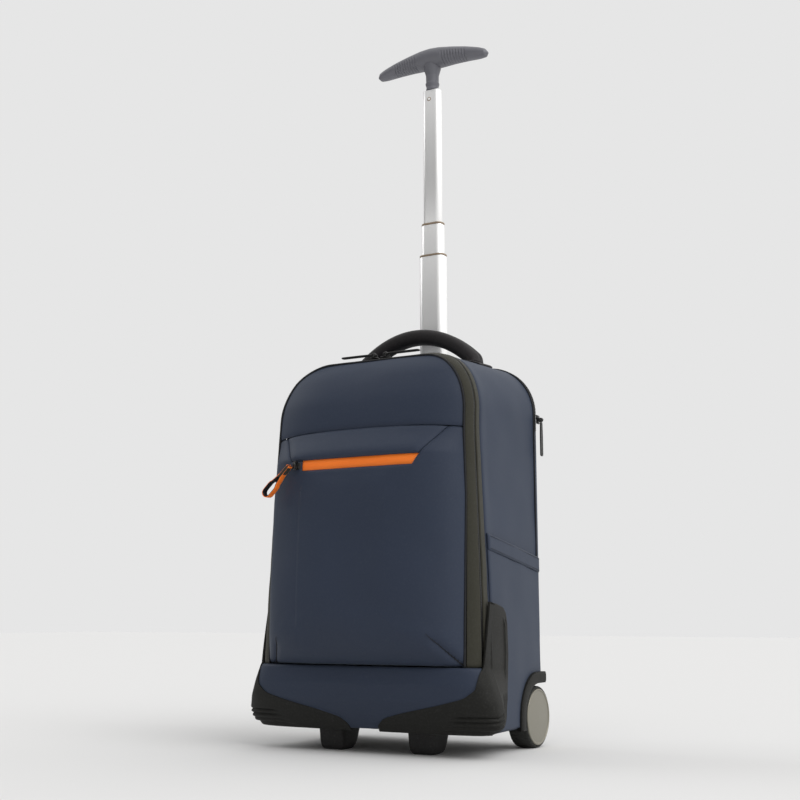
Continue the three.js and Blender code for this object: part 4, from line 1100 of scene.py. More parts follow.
def guardLine(z):       # a level line of the guard, from its front edge round the corner to its rear edge
    row = min(z, bag["hem"])
    proud = toe["guardProud"]
    end = read(toe["rear"], z)
    reach = toeHalf(row) + proud
    line = []
    if z <= bag["hem"]:
        startX = min(toeEdgeOut(z) + 0.4, reach - 0.3)
        first = math.asin(clamp(startX / reach) ** 2)
    else:
        edgeY = mix(-3, 13, (z - bag["hem"]) / (toe["guardTop"] - bag["hem"]))
        front = toeFront(row) - proud
        first = math.acos(clamp((toe["turn"] - edgeY) / (toe["turn"] - front)) ** 2)
    for i in range(61):
        angle = mix(first, math.pi / 2, i / 60)
        x = reach * math.sin(angle) ** 0.5
        y = toe["turn"] - (toe["turn"] - toeFront(row) + proud) * max(0.0, math.cos(angle)) ** 0.5
        rear = shellReach(15, z) + 1.5 + 0.6 + toe["wall"]
        line.append(Vector((max(x, rear) if i == 60 else x, y, z)))
    corner = line[-1].x
    for i in range(1, 31):
        y = mix(toe["turn"], max(end, toe["turn"] + 0.1), i / 30)
        past = (y - toe["turn"]) / (68 - toe["turn"])
        rear = shellReach(y, z) + 1.5 + 0.6 + toe["wall"]
        line.append(Vector((max(mix(corner, rear, past ** 0.8), rear), y, z)))
    return line


def pointToLine(px, py, chain):
    best = 1e9
    for (ax, ay), (bx, by) in zip(chain, chain[1:]):
        dx, dy = bx - ax, by - ay
        t = clamp(((px - ax) * dx + (py - ay) * dy) / (dx * dx + dy * dy))
        best = min(best, math.hypot(px - ax - t * dx, py - ay - t * dy))
    return best


rearChain = [(y - toe["turn"], z) for z, y in toe["rear"].items() if z > 27]


def smoothMin(a, b, blend):
    t = clamp(0.5 + 0.5 * (b - a) / blend)
    return mix(b, a, t) - blend * t * (1 - t)


def guardRelief(s, z, side):        # s runs back from the corner, forward is negative
    fromRear = pointToLine(s, z, rearChain)
    fromFoot = z - toe["guardFoot"]
    edge = smoothMin(fromRear, fromFoot, guardRib["blend"])
    fade = guardRib["frontFade"] if side > 0 else guardRib["frontFade"]
    shown = ease((s - fade[0]) / (fade[1] - fade[0])) * ease((guardRib["top"] - z) / guardRib["fadeTop"])
    height = 0.0
    for groove in guardRib["grooves"]:
        height -= guardRib["deep"] * max(0.0, 1 - abs(edge - groove) / guardRib["wide"]) ** 1.3 * shown
    upper = ease((z - 84) / 22) * ease((166 - z) / 12)
    low, high = guardRib["strip"]
    height += guardRib["stripHigh"] * ease((fromRear - low) / 1.6) * ease((high - fromRear) / 1.6) * upper
    height -= 1.8 * max(0.0, 1 - abs(fromRear - low + 1.6) / 2.0) * upper
    return height - rollIn(edge, guardRib["lip"], guardRib["lipDeep"])


def buildGuards():
    levels = [mix(toe["guardFoot"], toe["guardTop"], i / toe["rows"]) for i in range(toe["rows"] + 1)]
    for name, side in (("Left", -1), ("Right", 1)):
        lines = [evenPath(guardLine(z), toe["columns"]) for z in levels]
        arcs = []
        for z, line in zip(levels, lines):
            length = sum((b - a).length for a, b in zip(line, line[1:]))
            behind = max(read(toe["rear"], z), toe["turn"] + 0.1) - toe["turn"]
            arcs.append((length, behind))

        def place(u, v):
            spot = lines[round(v * toe["rows"])][round(u * toe["columns"])]
            return at(side * spot.x, spot.y, spot.z)

        def relief(u, v):
            row = round(v * toe["rows"])
            length, behind = arcs[row]
            return guardRelief(behind - length * (1 - u), levels[row], side)

        shape = reliefGrid(toe["columns"], toe["rows"], place, outOfBag, relief, (0.2, 0.15))
        piece = makePiece("cornerGuard" + name, shape, mouldedBlack, "root",
                          ("corner_guard_" + name.lower(),))
        thicken(piece, toe["wall"], rim=0.7)


buildToe()
buildGuards()
print("toe and guards made")


# Feet: tapered rubber blocks with rounded soles
foot = {"offset": 64, "start": 13, "half": 19, "length": 49, "top": 30.2, "square": 0.3,
        "rows": {0: (0.66, 0.17, 0.64), 0.02: (0.74, 0.15, 0.68), 0.07: (0.83, 0.115, 0.73), 0.16: (0.905, 0.08, 0.78),
                 0.4: (0.95, 0.04, 0.87), 1: (1.0, 0.0, 1.0)}}


def buildFeet():
    heights = [0, 0.01, 0.02, 0.045, 0.07, 0.11, 0.16, 0.25, 0.4, 0.6, 0.8, 1]
    for name, side in (("Left", -1), ("Right", 1)):
        def place(u, v):
            share = heights[round(v * (len(heights) - 1))]
            keys = list(foot["rows"])
            low = max(key for key in keys if key <= share)
            high = min(key for key in keys if key >= share)
            t = (share - low) / (high - low) if high > low else 0
            half, start, end = (mix(a, b, t) for a, b in zip(foot["rows"][low], foot["rows"][high]))
            angle = 2 * math.pi * u
            soft = lambda value: math.copysign(abs(value) ** foot["square"], value)
            x = side * foot["offset"] + foot["half"] * half * soft(math.cos(angle))
            y = foot["start"] + foot["length"] * (start + end) / 2 + foot["length"] * (end - start) / 2 * soft(math.sin(angle))
            return at(x, y, share * foot["top"])
        shape = closeUp(clothGrid(72, len(heights) - 1, place, (0.12, 0.03)))
        makePiece("foot" + name, shape, footBlack, "root", ("foot_" + name.lower(),))


buildFeet()


# Wheels: a disc with a raised rim in a treaded tyre
wheel = {"radius": 38.5, "face": 155.7, "width": 27.5, "cap": 35, "dish": 2.2, "axle": (164.2, 38.5),
         "treads": 44, "treadDeep": 1.0}


def buildWheels():
    face, inner = wheel["face"], wheel["face"] - wheel["width"]
    top, cap = wheel["radius"], wheel["cap"]
    for name, side in (("Left", -1), ("Right", 1)):
        body = "wheel_" + name.lower()

        def tread(angle, v):
            wave = math.cos(angle * wheel["treads"])
            onTread = ease((v - 0.2) * 8) * ease((0.82 - v) * 8)
            cut = ease((wave - 0.55) * 4)
            middle = ease((abs(v - 0.5) - 0.05) * 30)
            return -wheel["treadDeep"] * onTread * cut * middle

        outline = [(31.3, inner + 1.2), (top - 4, inner + 0.2), (top - 1.6, inner), (top - 0.2, inner + 1.4),
                   (top, inner + 5), (top, inner + 9), (top, face - 12), (top, face - 7), (top - 0.2, face - 3.4),
                   (top - 1.2, face - 1.6), (cap + 0.8, face - 1.1), (cap + 0.4, face - 1.6), (cap + 0.3, face - 3)]
        shape = latheGrid(softProfile(outline, 2), (wheel["axle"], side), 264, tread)
        makePiece("tyre" + name, shape, tyreRubber, body, ("tyre_" + name.lower(),))
        disc = [(5.5, inner), (31, inner), (31, face - 3), (cap, face - 2.4), (cap, face - 1.0), (cap - 0.5, face - 0.2),
                (cap - 1.5, face), (cap - 2.3, face - 0.1), (cap - 2.8, face - 0.9), (cap - 3.4, face - 1.0),
                (cap - 6, face - 0.8), (16, face - 0.35), (0.02, face)]
        shape = latheGrid(softProfile(disc, 2), (wheel["axle"], side), 144)
        makePiece("wheelDisc" + name, shape, wheelDisc, body, ("wheel_hub_" + name.lower(),))


# Rounded gutter lips over the wheel wells
lip = {"inner": 42, "width": 14, "high": 3.4, "foot": 24.5, "end": 186}


def buildLips():
    back, up = wheel["axle"]
    middle = lip["inner"] + lip["width"] / 2
    line = [(back - middle, mix(lip["foot"], up, i / 8), 1, 0) for i in range(8)]
    for i in range(25):
        angle = mix(math.pi, math.pi / 2, i / 24)
        line.append((back + middle * math.cos(angle), up + middle * math.sin(angle), -math.cos(angle), math.sin(angle)))
    line += [(mix(back, lip["end"], i / 6), up + middle, 0, 1) for i in range(1, 7)]
    line = [(y, z, abs(outY), outZ) for y, z, outY, outZ in line]
    faceX = shellReach(back - lip["inner"] - lip["width"], bag["hem"]) + sidePocket["wall"] + 0.6
    section = [(-1, -1.2), (-1, 0.3), (-0.94, 0.62), (-0.8, 0.85), (-0.5, 0.98), (0, 1.0), (0.5, 0.98), (0.8, 0.85),
               (0.94, 0.62), (1, 0.3), (1, -1.2)]
    for name, side in (("Left", -1), ("Right", 1)):
        def place(u, v):
            y, z, outY, outZ = line[round(v * (len(line) - 1))]
            across, rise = section[round(u * (len(section) - 1))]
            reach = across * lip["width"] / 2
            return at(side * (faceX + rise * lip["high"]), y - outY * reach, z + outZ * reach)
        shape = clothGrid(len(section) - 1, len(line) - 1, place, (0.02, 0.12))
        closeUp(shape)
        makePiece("wheelLip" + name, shape, mouldedBlack)


buildWheels()
buildLips()
print("feet and wheels made")


# Padded back panel with a bound edge, over the base
backPad = {"inset": 8.3, "crown": 4, "foot": 34.8, "notchX": 123.3, "notchTop": 83.3, "channel": 2.2}


def backHalfAt(z):
    shoulder = backArch["top"] - backArch["tall"]
    half = bag["halfWidth"] - backPad["inset"]
    if z <= shoulder:
        return half
    t = min(1.0, (z - shoulder) / (backArch["tall"] - backPad["inset"]))
    return half - (backArch["wide"] - backPad["inset"]) * (1 - math.sqrt(max(0, 1 - t * t)))


def buildBack():
    top = backArch["top"] - backPad["inset"]

    def place(u, v):
        z = mix(backPad["foot"], top, 1 - (1 - v) ** 1.15)
        half = backHalfAt(z)
        if z < backPad["notchTop"]:
            half = backPad["notchX"]
        x = math.sin((2 * u - 1) * math.pi / 2) * half
        wide, tall = x / (bag["halfWidth"] - 8.3), (2 * z - backPad["foot"] - top) / (top - backPad["foot"])
        swell = backPad["crown"] * (1 - abs(wide) ** 6) * (1 - abs(tall) ** 6)
        edge = rollIn((1 - abs(2 * u - 1) ** 1.0) * 60, 9, 3.6) + rollIn((z - backPad["foot"]), 9, 3.6)
        edge += rollIn(top - z, 9, 3.6)
        seams = 0.0
        for line in (-48, 48):
            seams = max(seams, max(0.0, 1 - abs(x - line) / 6) ** 2)
        for line in (170, 330):
            seams = max(seams, max(0.0, 1 - abs(z - line) / 6) ** 2)
        y = bag["backPlane"] + swell - edge - backPad["channel"] * seams + 0.6 * noise.noise(Vector((x, z, 0)) / 40)
        return at(x, y, z)

    shape = clothGrid(90, 130, place, (0.28, 0.46))
    faceOut(shape, lambda spot: Vector((0, 1, 0)))
    piece = makePiece("backPanel", shape, navyCloth, "root", ("back_panel",))
    inflate(piece, 2)
    thicken(piece, 6)
    path = []
    for i in range(321):
        share = i / 320
        spot = archPoint(share, backArch, -shellRound - 1.2, bag["underside"])
        path.append(at(spot.x, bag["backPlane"] - 0.2, spot.y))
    path = [spot for spot in path if spot.z > 84 * mm]
    makePiece("backPiping", cordGrid(evenPath(path, 260), 1.7, 8), pipingCloth)


buildBack()
print("back made")


# Rear zip round the shell's rear edge, over the top corners
rearZip = {"wide": 9.5, "back": 195.5, "reach": 392, "lift": 0.0}


def edgePlace(share, y, grow):
    z = archPoint(share, gussetArch).y
    start = gussetBack(z) + bag["gap"]
    return shellPoint(share, clamp((y - start) / (bag["backPlane"] - start)), grow)


def buildRearZip():
    shoulder = gussetArch["top"] - gussetArch["tall"]
    low = archShares["wall"] * (rearZip["reach"] - wallFoot) / (shoulder - wallFoot)
    place = lambda grow: lambda u, v: edgePlace(mix(low, 1 - low, u), rearZip["back"] - rearZip["wide"] * (1 - v), grow)
    tape = clothGrid(180, 4, place(rearZip["lift"]), (0.7, 0.007))
    faceOut(tape, outOfBag)
    thicken(makePiece("rearZip", tape, zipTape, "root", ("rear_zip",)), 0.6)
    middle = [place(rearZip["lift"] + 0.5)(i / 300, 0.5) for i in range(301)]
    beside = [place(rearZip["lift"] + 0.5)(i / 300, 0.8) for i in range(301)]
    buildTeeth("rearZipTeeth", middle, beside, 2.0, (1.15, 2.6, 0.9))
    line = []
    for i in range(241):
        share = mix(0.02, 0.98, i / 240)
        line.append(edgePlace(share, rearZip["back"] - rearZip["wide"] - 2.2, 0.2))
    line = [spot for spot in line if spot.z > 84 * mm]
    makePiece("rearPiping", cordGrid(evenPath(line, 260), 1.1, 8), pipingCloth)


buildRearZip()
print("rear zip made")


# Sliders and their pull tabs
slider = {"long": 13, "wide": 9.4, "base": 2.4, "pin": 5.8, "tab": 50, "tabWide": 7.5, "tabThick": 2.2, "eye": 2.4}


def buildSlider(name, place, turn, replaced):
    shape = bmesh.new()
    frameOf = Matrix.Translation(place) @ turn
    put = lambda x, y, z: frameOf @ (Vector((x, y, z)) * mm)
    roundBlock(shape, (slider["long"], slider["wide"], 1.5), put(0, 0, 0.75), turn, 0.6, 2,
               lambda spot: 0.86 if spot.x > 0 else 1.0)
    roundBlock(shape, (slider["long"] * 0.86, slider["wide"] * 0.72, 1.0), put(0, 0, 1.85), turn, 0.4, 2)
    for side in (-1, 1):
        roundBlock(shape, (4.4, 1.3, slider["pin"] - 0.6), put(0, side * (slider["tabWide"] / 2 + 0.9), slider["pin"] / 2 + 0.9),
                   turn, 0.5, 2)
    pin = bmesh.ops.create_cone(shape, cap_ends=True, segments=16, radius1=0.9 * mm, radius2=0.9 * mm,
                                depth=(slider["wide"] + 1.2) * mm)["verts"]
    bmesh.ops.transform(shape, matrix=Matrix.Translation(put(0, 0, slider["pin"])) @ turn @ Matrix.Rotation(math.pi / 2, 4, "X"),
                        verts=pin)
    makePiece(name, shape, sliderMetal, "root", (replaced,))


def buildTab(name, place, turn, body, replaced):
    frameOf = Matrix.Translation(place) @ turn @ Matrix.Translation((0, 0, slider["pin"] * mm))
    shape = bmesh.new()

    def outline(share, inset):
        spot = roundBox(share, slider["tab"] - 3 - 2 * inset, slider["tabWide"] - 2 * inset, 2.6 - inset * 0.6)
        return spot + Vector((slider["tab"] / 2 + 1.2, 0))

    half = slider["tabThick"] / 2
    rows = [(1.9, -half + 0.35), (0.9, -half), (0.25, -half + 0.25), (0, -half + 0.6), (0, half - 0.6), (0.25, half - 0.25),
            (0.9, half), (1.5, half - 0.15), (1.9, half - 0.5), (3.4, half - 0.5)]
    count = len(rows) - 1

    def placeTab(u, v):
        inset, z = rows[round(v * count)]
        spot = outline(u, inset)
        narrow = mix(0.72, 1.0, ease((spot.x - 2) / 22))
        return frameOf @ (Vector((spot.x, spot.y * narrow, z)) * mm)

    grid = closeUp(clothGrid(72, count, placeTab, (0.1, 0.01)))
    mesh = bpy.data.meshes.new("tab")
    grid.to_mesh(mesh)
    grid.free()
    shape.from_mesh(mesh)
    bpy.data.meshes.remove(mesh)
    ring = [frameOf @ (Vector((1.75 * math.cos(a), 0, 1.75 * math.sin(a))) * mm) for a in
            [2 * math.pi * i / 28 for i in range(28)]]
    for side in (-1.9, 0, 1.9):
        shift = frameOf.to_3x3() @ Vector((0, side * mm, 0))
        part = cordGrid([spot + shift for spot in ring], 0.85, 10, True, up=frameOf.to_3x3() @ Vector((0, 1, 0)))
        part.to_mesh(loop := bpy.data.meshes.new("eye"))
        part.free()
        shape.from_mesh(loop)
        bpy.data.meshes.remove(loop)
    makePiece(name, shape, sliderMetal, body, (replaced,))


def boxMiddle(node):
    low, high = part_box(node)
    return (low + high) / 2, low, high


def buildPulls():
    for name, turned in (("Left", math.pi), ("Right", 0.0)):
        node = "top_" + name.lower()
        middle, low, high = boxMiddle(node + "_slider")
        place = Vector((middle.x, middle.y, low.z))
        turn = Matrix.Rotation(turned, 4, "Z")
        buildSlider("topSlider" + name, place, turn, node + "_slider")
        buildTab("topPull" + name, place, turn, "pull_top_" + name.lower(), node + "_pull")
    middle, low, high = boxMiddle("rear_slider")
    place = Vector((low.x, middle.y, middle.z))
    turn = Matrix.Rotation(math.pi / 2, 4, "Y")
    buildSlider("rearSlider", place, turn, "rear_slider")
    buildTab("rearPull", place, turn, "pull_rear", "rear_pull")


buildPulls()


# Pocket slider with a webbing pull that ends in an orange loop
web = {"turn": -2.365, "long": 29, "loop": 11, "wide": 9, "wall": 0.8, "narrow": 0.62}


def buildPocketPull():
    middle, low, high = boxMiddle("pocket_slider")
    place = Vector((middle.x, high.y, middle.z))
    turn = Matrix.Rotation(math.pi / 2, 4, "X")
    buildSlider("pocketSlider", place, turn, "pocket_slider")
    start = Matrix.Translation(place) @ turn @ Matrix.Translation(Vector((-8.2, 0, 5)) * mm)
    frameOf = start @ Matrix.Rotation(web["turn"], 4, "Z")

    def loopPath(grow):
        points = [Vector((0, -0.7 - grow, 0)), Vector((web["long"] * 0.5, -0.8 - grow, 0))]
        reach = web["loop"] + grow
        for i in range(33):
            angle = mix(-0.83, 0.83, i / 32) * math.pi
            fat = web["narrow"] * reach * math.sin(angle) * (0.55 + 0.45 * math.cos(angle) ** 2 + 0.25)
            points.append(Vector((web["long"] + web["loop"] + reach * math.cos(angle), fat, 0)))
        points += [Vector((web["long"] * 0.5, 0.8 + grow, 0)), Vector((0, 0.7 + grow, 0))]
        path = [frameOf @ (spot * mm) for spot in points]
        return evenPath(path, 90)

    for name, grow, material, slot in (("pullLoopOuter", 0.9, orangeTape, "orange_trim"),
                                       ("pullLoopInner", 0.0, pipingCloth, "zip_tape")):
        path = loopPath(grow)
        side = frameOf.to_3x3() @ Vector((0, 0, 1))

        def ribbon(u, v):
            return path[round(v * 90)] + side * ((u - 0.5) * web["wide"] * mm)
        strip = clothGrid(6, 90, ribbon, (0.01, 0.09))
        bmesh.ops.recalc_face_normals(strip, faces=strip.faces)
        replaced = ("pocket_pull",) if grow else ()
        thicken(makePiece(name, strip, material, "root", replaced), web["wall"], 0)
    wrap = bmesh.new()
    roundBlock(wrap, (web["long"] * 0.62, 4.2, web["wide"] + 0.8), frameOf @ (Vector((web["long"] * 0.36, 0, 0)) * mm),
               turn @ Matrix.Rotation(web["turn"], 4, "Z"), 1.0, 3)
    makePiece("pullWrap", wrap, blackCloth)


buildPocketPull()
print("sliders and pulls made")


# Carry handle: a padded bar folded lengthwise, on two sewn anchors
carry = {"half": 90, "rise": 44, "arch": 1.8, "thick": 21, "deep": 27, "fold": 2.2, "anchor": 2.6}


def buildCarryHandle():
    deck = bag["height"] + (bag["carryBack"] - gussetBack(bag["height"])) / (bag["backPlane"] - gussetBack(bag["height"])) * 4

    def place(u, v):
        turn = math.pi * v
        cx = -carry["half"] * math.cos(turn)
        cz = deck + carry["rise"] * math.sin(turn) ** carry["arch"]
        up = carry["half"] * math.sin(turn) ** (2 - carry["arch"])
        normal = Vector((-carry["arch"] * carry["rise"] * math.cos(turn), up)).normalized()
        swell = 1 + 0.25 * abs(math.cos(turn)) ** 6
        angle = 2 * math.pi * u
        soft = lambda value, power: math.copysign(abs(value) ** power, value)
        fold = carry["fold"] * max(0.0, 1 - abs(math.sin(angle)) / 0.16) * (math.cos(angle) > 0)
        foot = ease((0.5 - abs(v - 0.5)) * 9)
        a = (carry["thick"] / 2) * soft(math.cos(angle), 0.85) * mix(0.5, 1, foot) - fold * foot
        b = (carry["deep"] / 2) * swell * soft(math.sin(angle), 0.75)
        spot = at(cx + normal.x * a, bag["carryBack"] + b, cz + normal.y * a)
        spot.z = max(spot.z, (deck + 0.4) * mm)
        return spot

    shape = closeUp(clothGrid(64, 90, place, (0.08, 0.24)))
    bmesh.ops.recalc_face_normals(shape, faces=shape.faces)
    makePiece("carryHandle", shape, handleCloth, "root", ("carry_handle",))
    for name, side in (("Left", -1), ("Right", 1)):
        def patch(u, v):
            x = side * (carry["half"] - 2) + (u - 0.5) * carry["thick"] * 1.5
            y = bag["carryBack"] + (v - 0.5) * carry["deep"] * 1.5
            z = shellTopAt(x, y)
            edge = min(u, 1 - u) * 31, min(v, 1 - v) * 40
            lift = carry["anchor"] * (1 - 0.6 * max(0, 1 - min(edge) / 2.5) ** 2)
            return at(x, y, z + lift)
        pad = clothGrid(24, 24, patch, (0.031, 0.04))
        faceOut(pad, lambda spot: Vector((0, 0, 1)))
        piece = makePiece("handleAnchor" + name, pad, handleCloth, "root", ("handle_anchor_" + name.lower(),))
        thicken(piece, 2.4)


def shellTopAt(x, y):       # height of the shell's top over a place on the ground plan
    share = clamp((y - gussetBack(bag["height"])) / (bag["backPlane"] - gussetBack(bag["height"])))
    top = mix(gussetArch["top"], backArch["top"], share)
    wide = mix(gussetArch["wide"], backArch["wide"], share)
    tall = mix(gussetArch["tall"], backArch["tall"], share)
    half = mix(bodyHalf(415), bag["halfWidth"], share)
    out = clamp((abs(x) - (half - wide)) / wide)
    return top - tall * (1 - math.sqrt(max(0.0, 1 - out * out)))


buildCarryHandle()
print("carry handle made")


# Telescopic handle: collar, three tubes with rims, pins and grip
trolley = {"corner": 0.42, "rim": 2.6, "clear": 0.3}


def ringRows(outer, inner, low, high, edge=0.5):       # rows of a rounded ring from inside foot to outside foot
    def row(box, inset, z):
        wide, deep = box[0] - 2 * inset, box[1] - 2 * inset
        return (wide, deep, max(box[2] - inset, 0.5), z)
    rows = [row(inner, 0, low), row(inner, 0, high - edge), row(inner, -0.3 * edge, high - 0.3 * edge),
            row(inner, -edge, high), row(outer, edge, high), row(outer, 0.3 * edge, high - 0.3 * edge),
            row(outer, 0, high - edge), row(outer, 0, low)]
    return rows


def buildRing(name, outer, inner, low, high, material, body, replaced, edge=0.5, around=96, middle=None):
    rows = ringRows(outer, inner, low, high, edge)
    shape = boxLoft(rows, around, middle or (0, bag["tubeBack"]), True)
    closeUp(shape, fill=False)
    return makePiece(name, shape, material, body, replaced)


def nodeSize(node):
    low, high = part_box(node)
    return (high.x - low.x) / mm, (high.y - low.y) / mm, low.z / mm, high.z / mm


rimBrown = finish("rimBrown", {
    "colour": "#94826e", "drift": "#a6937e", "driftScale": 50, "roughness": (0.4, 0.55), "metallic": 0.4,
    "grain": 1500, "bump": 0.1})


def buildTrolley():
    walls = {"outer": 1.4, "middle": 1.3, "inner": 1.2}
    for stage, wall in walls.items():
        wide, deep, low, high = nodeSize("tube_" + stage)
        corner = trolley["corner"] * deep
        outer = (wide, deep, corner)
        inner = (wide - 2 * wall, deep - 2 * wall, corner - wall)
        buildRing("tube" + stage.capitalize(), outer, inner, low, high, tubeMetal, "stage_" + stage,
                  ("tube_" + stage,), 0.35, 128)
    for stage, following in (("outer", "middle"), ("middle", "inner")):
        wide, deep, low, high = nodeSize("rim_" + stage)
        nextWide, nextDeep, _, _ = nodeSize("tube_" + following)
        outer = (wide + 0.5, deep + 0.5, trolley["corner"] * deep + 0.25)
        inner = (nextWide + 0.6, nextDeep + 0.48, trolley["corner"] * nextDeep + 0.3)
        buildRing("rim" + stage.capitalize(), outer, inner, low, high, rimBrown, "stage_" + stage,
                  ("rim_" + stage,), 0.7, 128)
    wide, deep, low, high = nodeSize("trolley_collar")
    middle, lowCorner, highCorner = boxMiddle("trolley_collar")
    tubeWide, tubeDeep, _, _ = nodeSize("tube_outer")
    offset = (middle.y - toeY) / mm
    rows = ringRows((wide, deep, 9), (tubeWide + 0.6, tubeDeep + 0.6, 9.5), low, high, 2.0)
    shift = bag["tubeBack"] - offset

    def place(u, v):
        boxWide, boxDeep, corner, z = rows[round(v * len(rows)) % len(rows)]
        spot = roundBox(u, boxWide, boxDeep, corner)
        inner = boxDeep < (tubeDeep + deep) / 2
        return at(spot.x, offset + spot.y + (shift if inner else 0), z)
    collar = clothGrid(96, len(rows), place, (0.2, 0.02))
    closeUp(collar, fill=False)
    makePiece("trolleyCollar", collar, mouldedBlack, "root", ("trolley_collar",))
    rivetMiddle, rivetLow, rivetHigh = boxMiddle("tube_rivet")
    for name, radius, proud, material, slot in (("rivetRing", 3.6, 0.12, rimBrown, "slider_metal"),
                                                ("tubeRivet", 2.3, 0.35, tubeMetal, "tube_metal")):
        shape = bmesh.new()
        points = bmesh.ops.create_cone(shape, cap_ends=True, segments=28, radius1=radius * mm, radius2=radius * 0.8 * mm,
                                       depth=(proud + 0.6) * mm)["verts"]
        place = Vector((rivetMiddle.x, rivetLow.y - (proud - 0.6) / 2 * mm, rivetMiddle.z))
        bmesh.ops.transform(shape, matrix=Matrix.Translation(place) @ Matrix.Rotation(math.pi / 2, 4, "X"), verts=points)
        makePiece(name, shape, material, "stage_inner", ("tube_rivet",) if name == "tubeRivet" else ())


grip = {
    "half": 90, "tall": 15, "deep": 17, "droop": 10.8, "z": 972.5, "neck": 12.5, "neckFoot": 922.3, "neckTop": 965,
    "tallRow": {0: 1, 0.16: 0.97, 0.4: 0.83, 0.65: 0.69, 0.86: 0.55, 0.96: 0.4, 1: 0.1},
    "deepRow": {0: 1, 0.16: 0.98, 0.4: 0.85, 0.65: 0.71, 0.86: 0.55, 0.96: 0.41, 1: 0.12},
    "dropRow": {0: 0, 0.16: 0.05, 0.4: 0.2, 0.65: 0.46, 0.86: 0.78, 0.96: 0.93, 1: 1},
    "neckRow": {0: 0.58, 0.03: 0.75, 0.12: 0.69, 0.2: 0.78, 0.25: 0.82, 0.3: 0.74, 0.55: 0.76, 0.8: 1, 1: 1.05},
    "ribFrom": 17, "ribTo": 62, "ribPitch": 4.4, "ribDeep": 1.7,
}


def buildGrip():
    def place(u, v):
        out = 2 * v - 1
        share = math.sin(abs(out) * math.pi / 2)
        x = math.copysign(share, out) * grip["half"]
        tall = grip["tall"] * softRead(grip["tallRow"], share, 0.04 if share < 0.9 else 0.01)
        deep = grip["deep"] * softRead(grip["deepRow"], share, 0.04 if share < 0.9 else 0.01)
        z = grip["z"] - grip["droop"] * softRead(grip["dropRow"], share, 0.04)
        angle = 2 * math.pi * u
        return at(x, bag["tubeBack"] + deep * math.cos(angle), z + tall * math.sin(angle))

    def relief(u, v):
        out = 2 * v - 1
        x = math.sin(abs(out) * math.pi / 2) * grip["half"]
        angle = math.degrees(2 * math.pi * u) % 360
        onFront = ease((angle - 158) / 18) * ease((280 - angle) / 20)
        onLength = ease((x - grip["ribFrom"]) / 3) * ease((grip["ribTo"] - x) / 3)
        wave = 0.5 + 0.5 * math.cos(2 * math.pi * x / grip["ribPitch"])
        return -grip["ribDeep"] * wave ** 2 * onFront * onLength

    shape = reliefGrid(72, 300, place, lambda spot: spot - at(spot.x / mm, bag["tubeBack"], grip["z"] - 5), relief, (0.1, 0.2))
    closeUp(shape)
    makePiece("grip", shape, gripPlastic, "stage_inner", ("grip",))
    rows = []
    for i in range(61):
        up = i / 60
        radius = grip["neck"] * softRead(grip["neckRow"], up, 0.012)
        rows.append((radius, mix(grip["neckFoot"], grip["neckTop"], up)))
    neck = latheGrid(rows, ((0, bag["tubeBack"]), 0), 72)
    makePiece("gripNeck", neck, gripPlastic, "stage_inner")


buildTrolley()
buildGrip()
print("trolley made")


# Finish of the CAD pieces that stay as they are
def dress(nodes, material):
    for node in nodes:
        piece = bpy.data.objects[node]
        piece.data.materials.clear()
        piece.data.materials.append(material)


dress(("base_tray", "wheel_housing_left", "wheel_housing_right", "trolley_sleeve"), mouldedBlack)


# Floor and light
studio = {"floor": 0.736, "lift": 0.0, "back": "#e6e6e6", "low": 0.03, "high": 1.15, "from": (0.66, 0.22, 0.72)}
scene.view_settings.view_transform = "Standard"


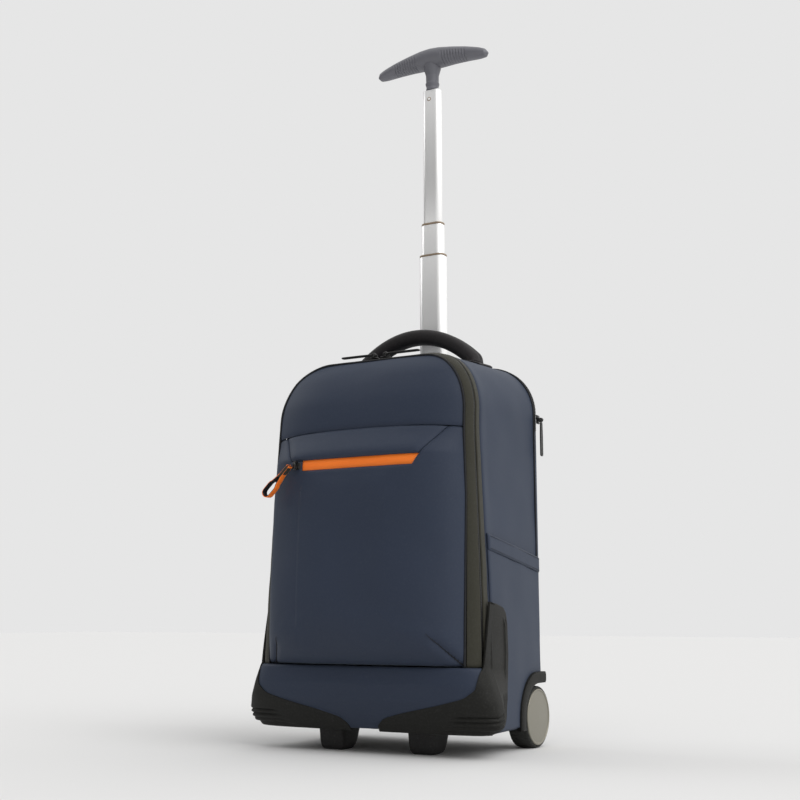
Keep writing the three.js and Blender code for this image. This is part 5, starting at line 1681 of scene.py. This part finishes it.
def buildWorld():       # a plain pale backdrop, with the light stronger from the right and above
    world = bpy.data.worlds.new("studio")
    world.use_nodes = True
    tree = world.node_tree
    lamp = tree.nodes["Background"]
    lamp.inputs["Color"].default_value = (1, 0.995, 0.985, 1)
    plain = tree.nodes.new("ShaderNodeBackground")
    plain.inputs["Color"].default_value = colour(studio["back"])
    place = tree.nodes.new("ShaderNodeTexCoord")
    facing = tree.nodes.new("ShaderNodeVectorMath")
    facing.operation = "DOT_PRODUCT"
    tree.links.new(place.outputs["Generated"], facing.inputs[0])
    facing.inputs[1].default_value = studio["from"]
    spread = tree.nodes.new("ShaderNodeMapRange")
    spread.interpolation_type = "SMOOTHSTEP"
    for label, value in (("From Min", -0.6), ("From Max", 1.0), ("To Min", studio["low"]), ("To Max", studio["high"])):
        spread.inputs[label].default_value = value
    tree.links.new(facing.outputs["Value"], spread.inputs["Value"])
    tree.links.new(spread.outputs["Result"], lamp.inputs["Strength"])
    seen = tree.nodes.new("ShaderNodeLightPath")
    pick = tree.nodes.new("ShaderNodeMixShader")
    tree.links.new(seen.outputs["Is Camera Ray"], pick.inputs[0])
    tree.links.new(lamp.outputs[0], pick.inputs[1])
    tree.links.new(plain.outputs[0], pick.inputs[2])
    tree.links.new(pick.outputs[0], tree.nodes["World Output"].inputs["Surface"])
    scene.world = world


def buildStudio():
    shape = bmesh.new()
    bmesh.ops.create_grid(shape, x_segments=1, y_segments=1, size=8)
    mesh = bpy.data.meshes.new("floor")
    shape.to_mesh(mesh)
    shape.free()
    floor = bpy.data.objects.new("floor", mesh)
    scene.collection.objects.link(floor)
    material = bpy.data.materials.new("floorPaper")
    material.use_nodes = True
    shader = material.node_tree.nodes["Principled BSDF"]
    tone = studio["floor"]
    shader.inputs["Base Color"].default_value = (tone, tone, tone, 1)
    shader.inputs["Roughness"].default_value = 0.9
    shader.inputs["Specular IOR Level"].default_value = 0.1
    shader.inputs["Emission Color"].default_value = (1, 1, 1, 1)
    shader.inputs["Emission Strength"].default_value = studio["lift"]
    mesh.materials.append(material)
    suns = (
        {"name": "key", "from": (1.5, -0.5, 1.5), "soft": 40, "power": 0.9},
        {"name": "rim", "from": (-1.6, -0.15, 1.0), "soft": 35, "power": 0.6},
    )
    for row in suns:
        data = bpy.data.lights.new(row["name"], "SUN")
        data.angle = math.radians(row["soft"])
        data.energy = row["power"]
        light = bpy.data.objects.new(row["name"], data)
        light.location = row["from"]
        light.rotation_euler = Vector(row["from"]).to_track_quat("Z", "Y").to_euler()
        scene.collection.objects.link(light)


buildWorld()
buildStudio()
print("studio made")
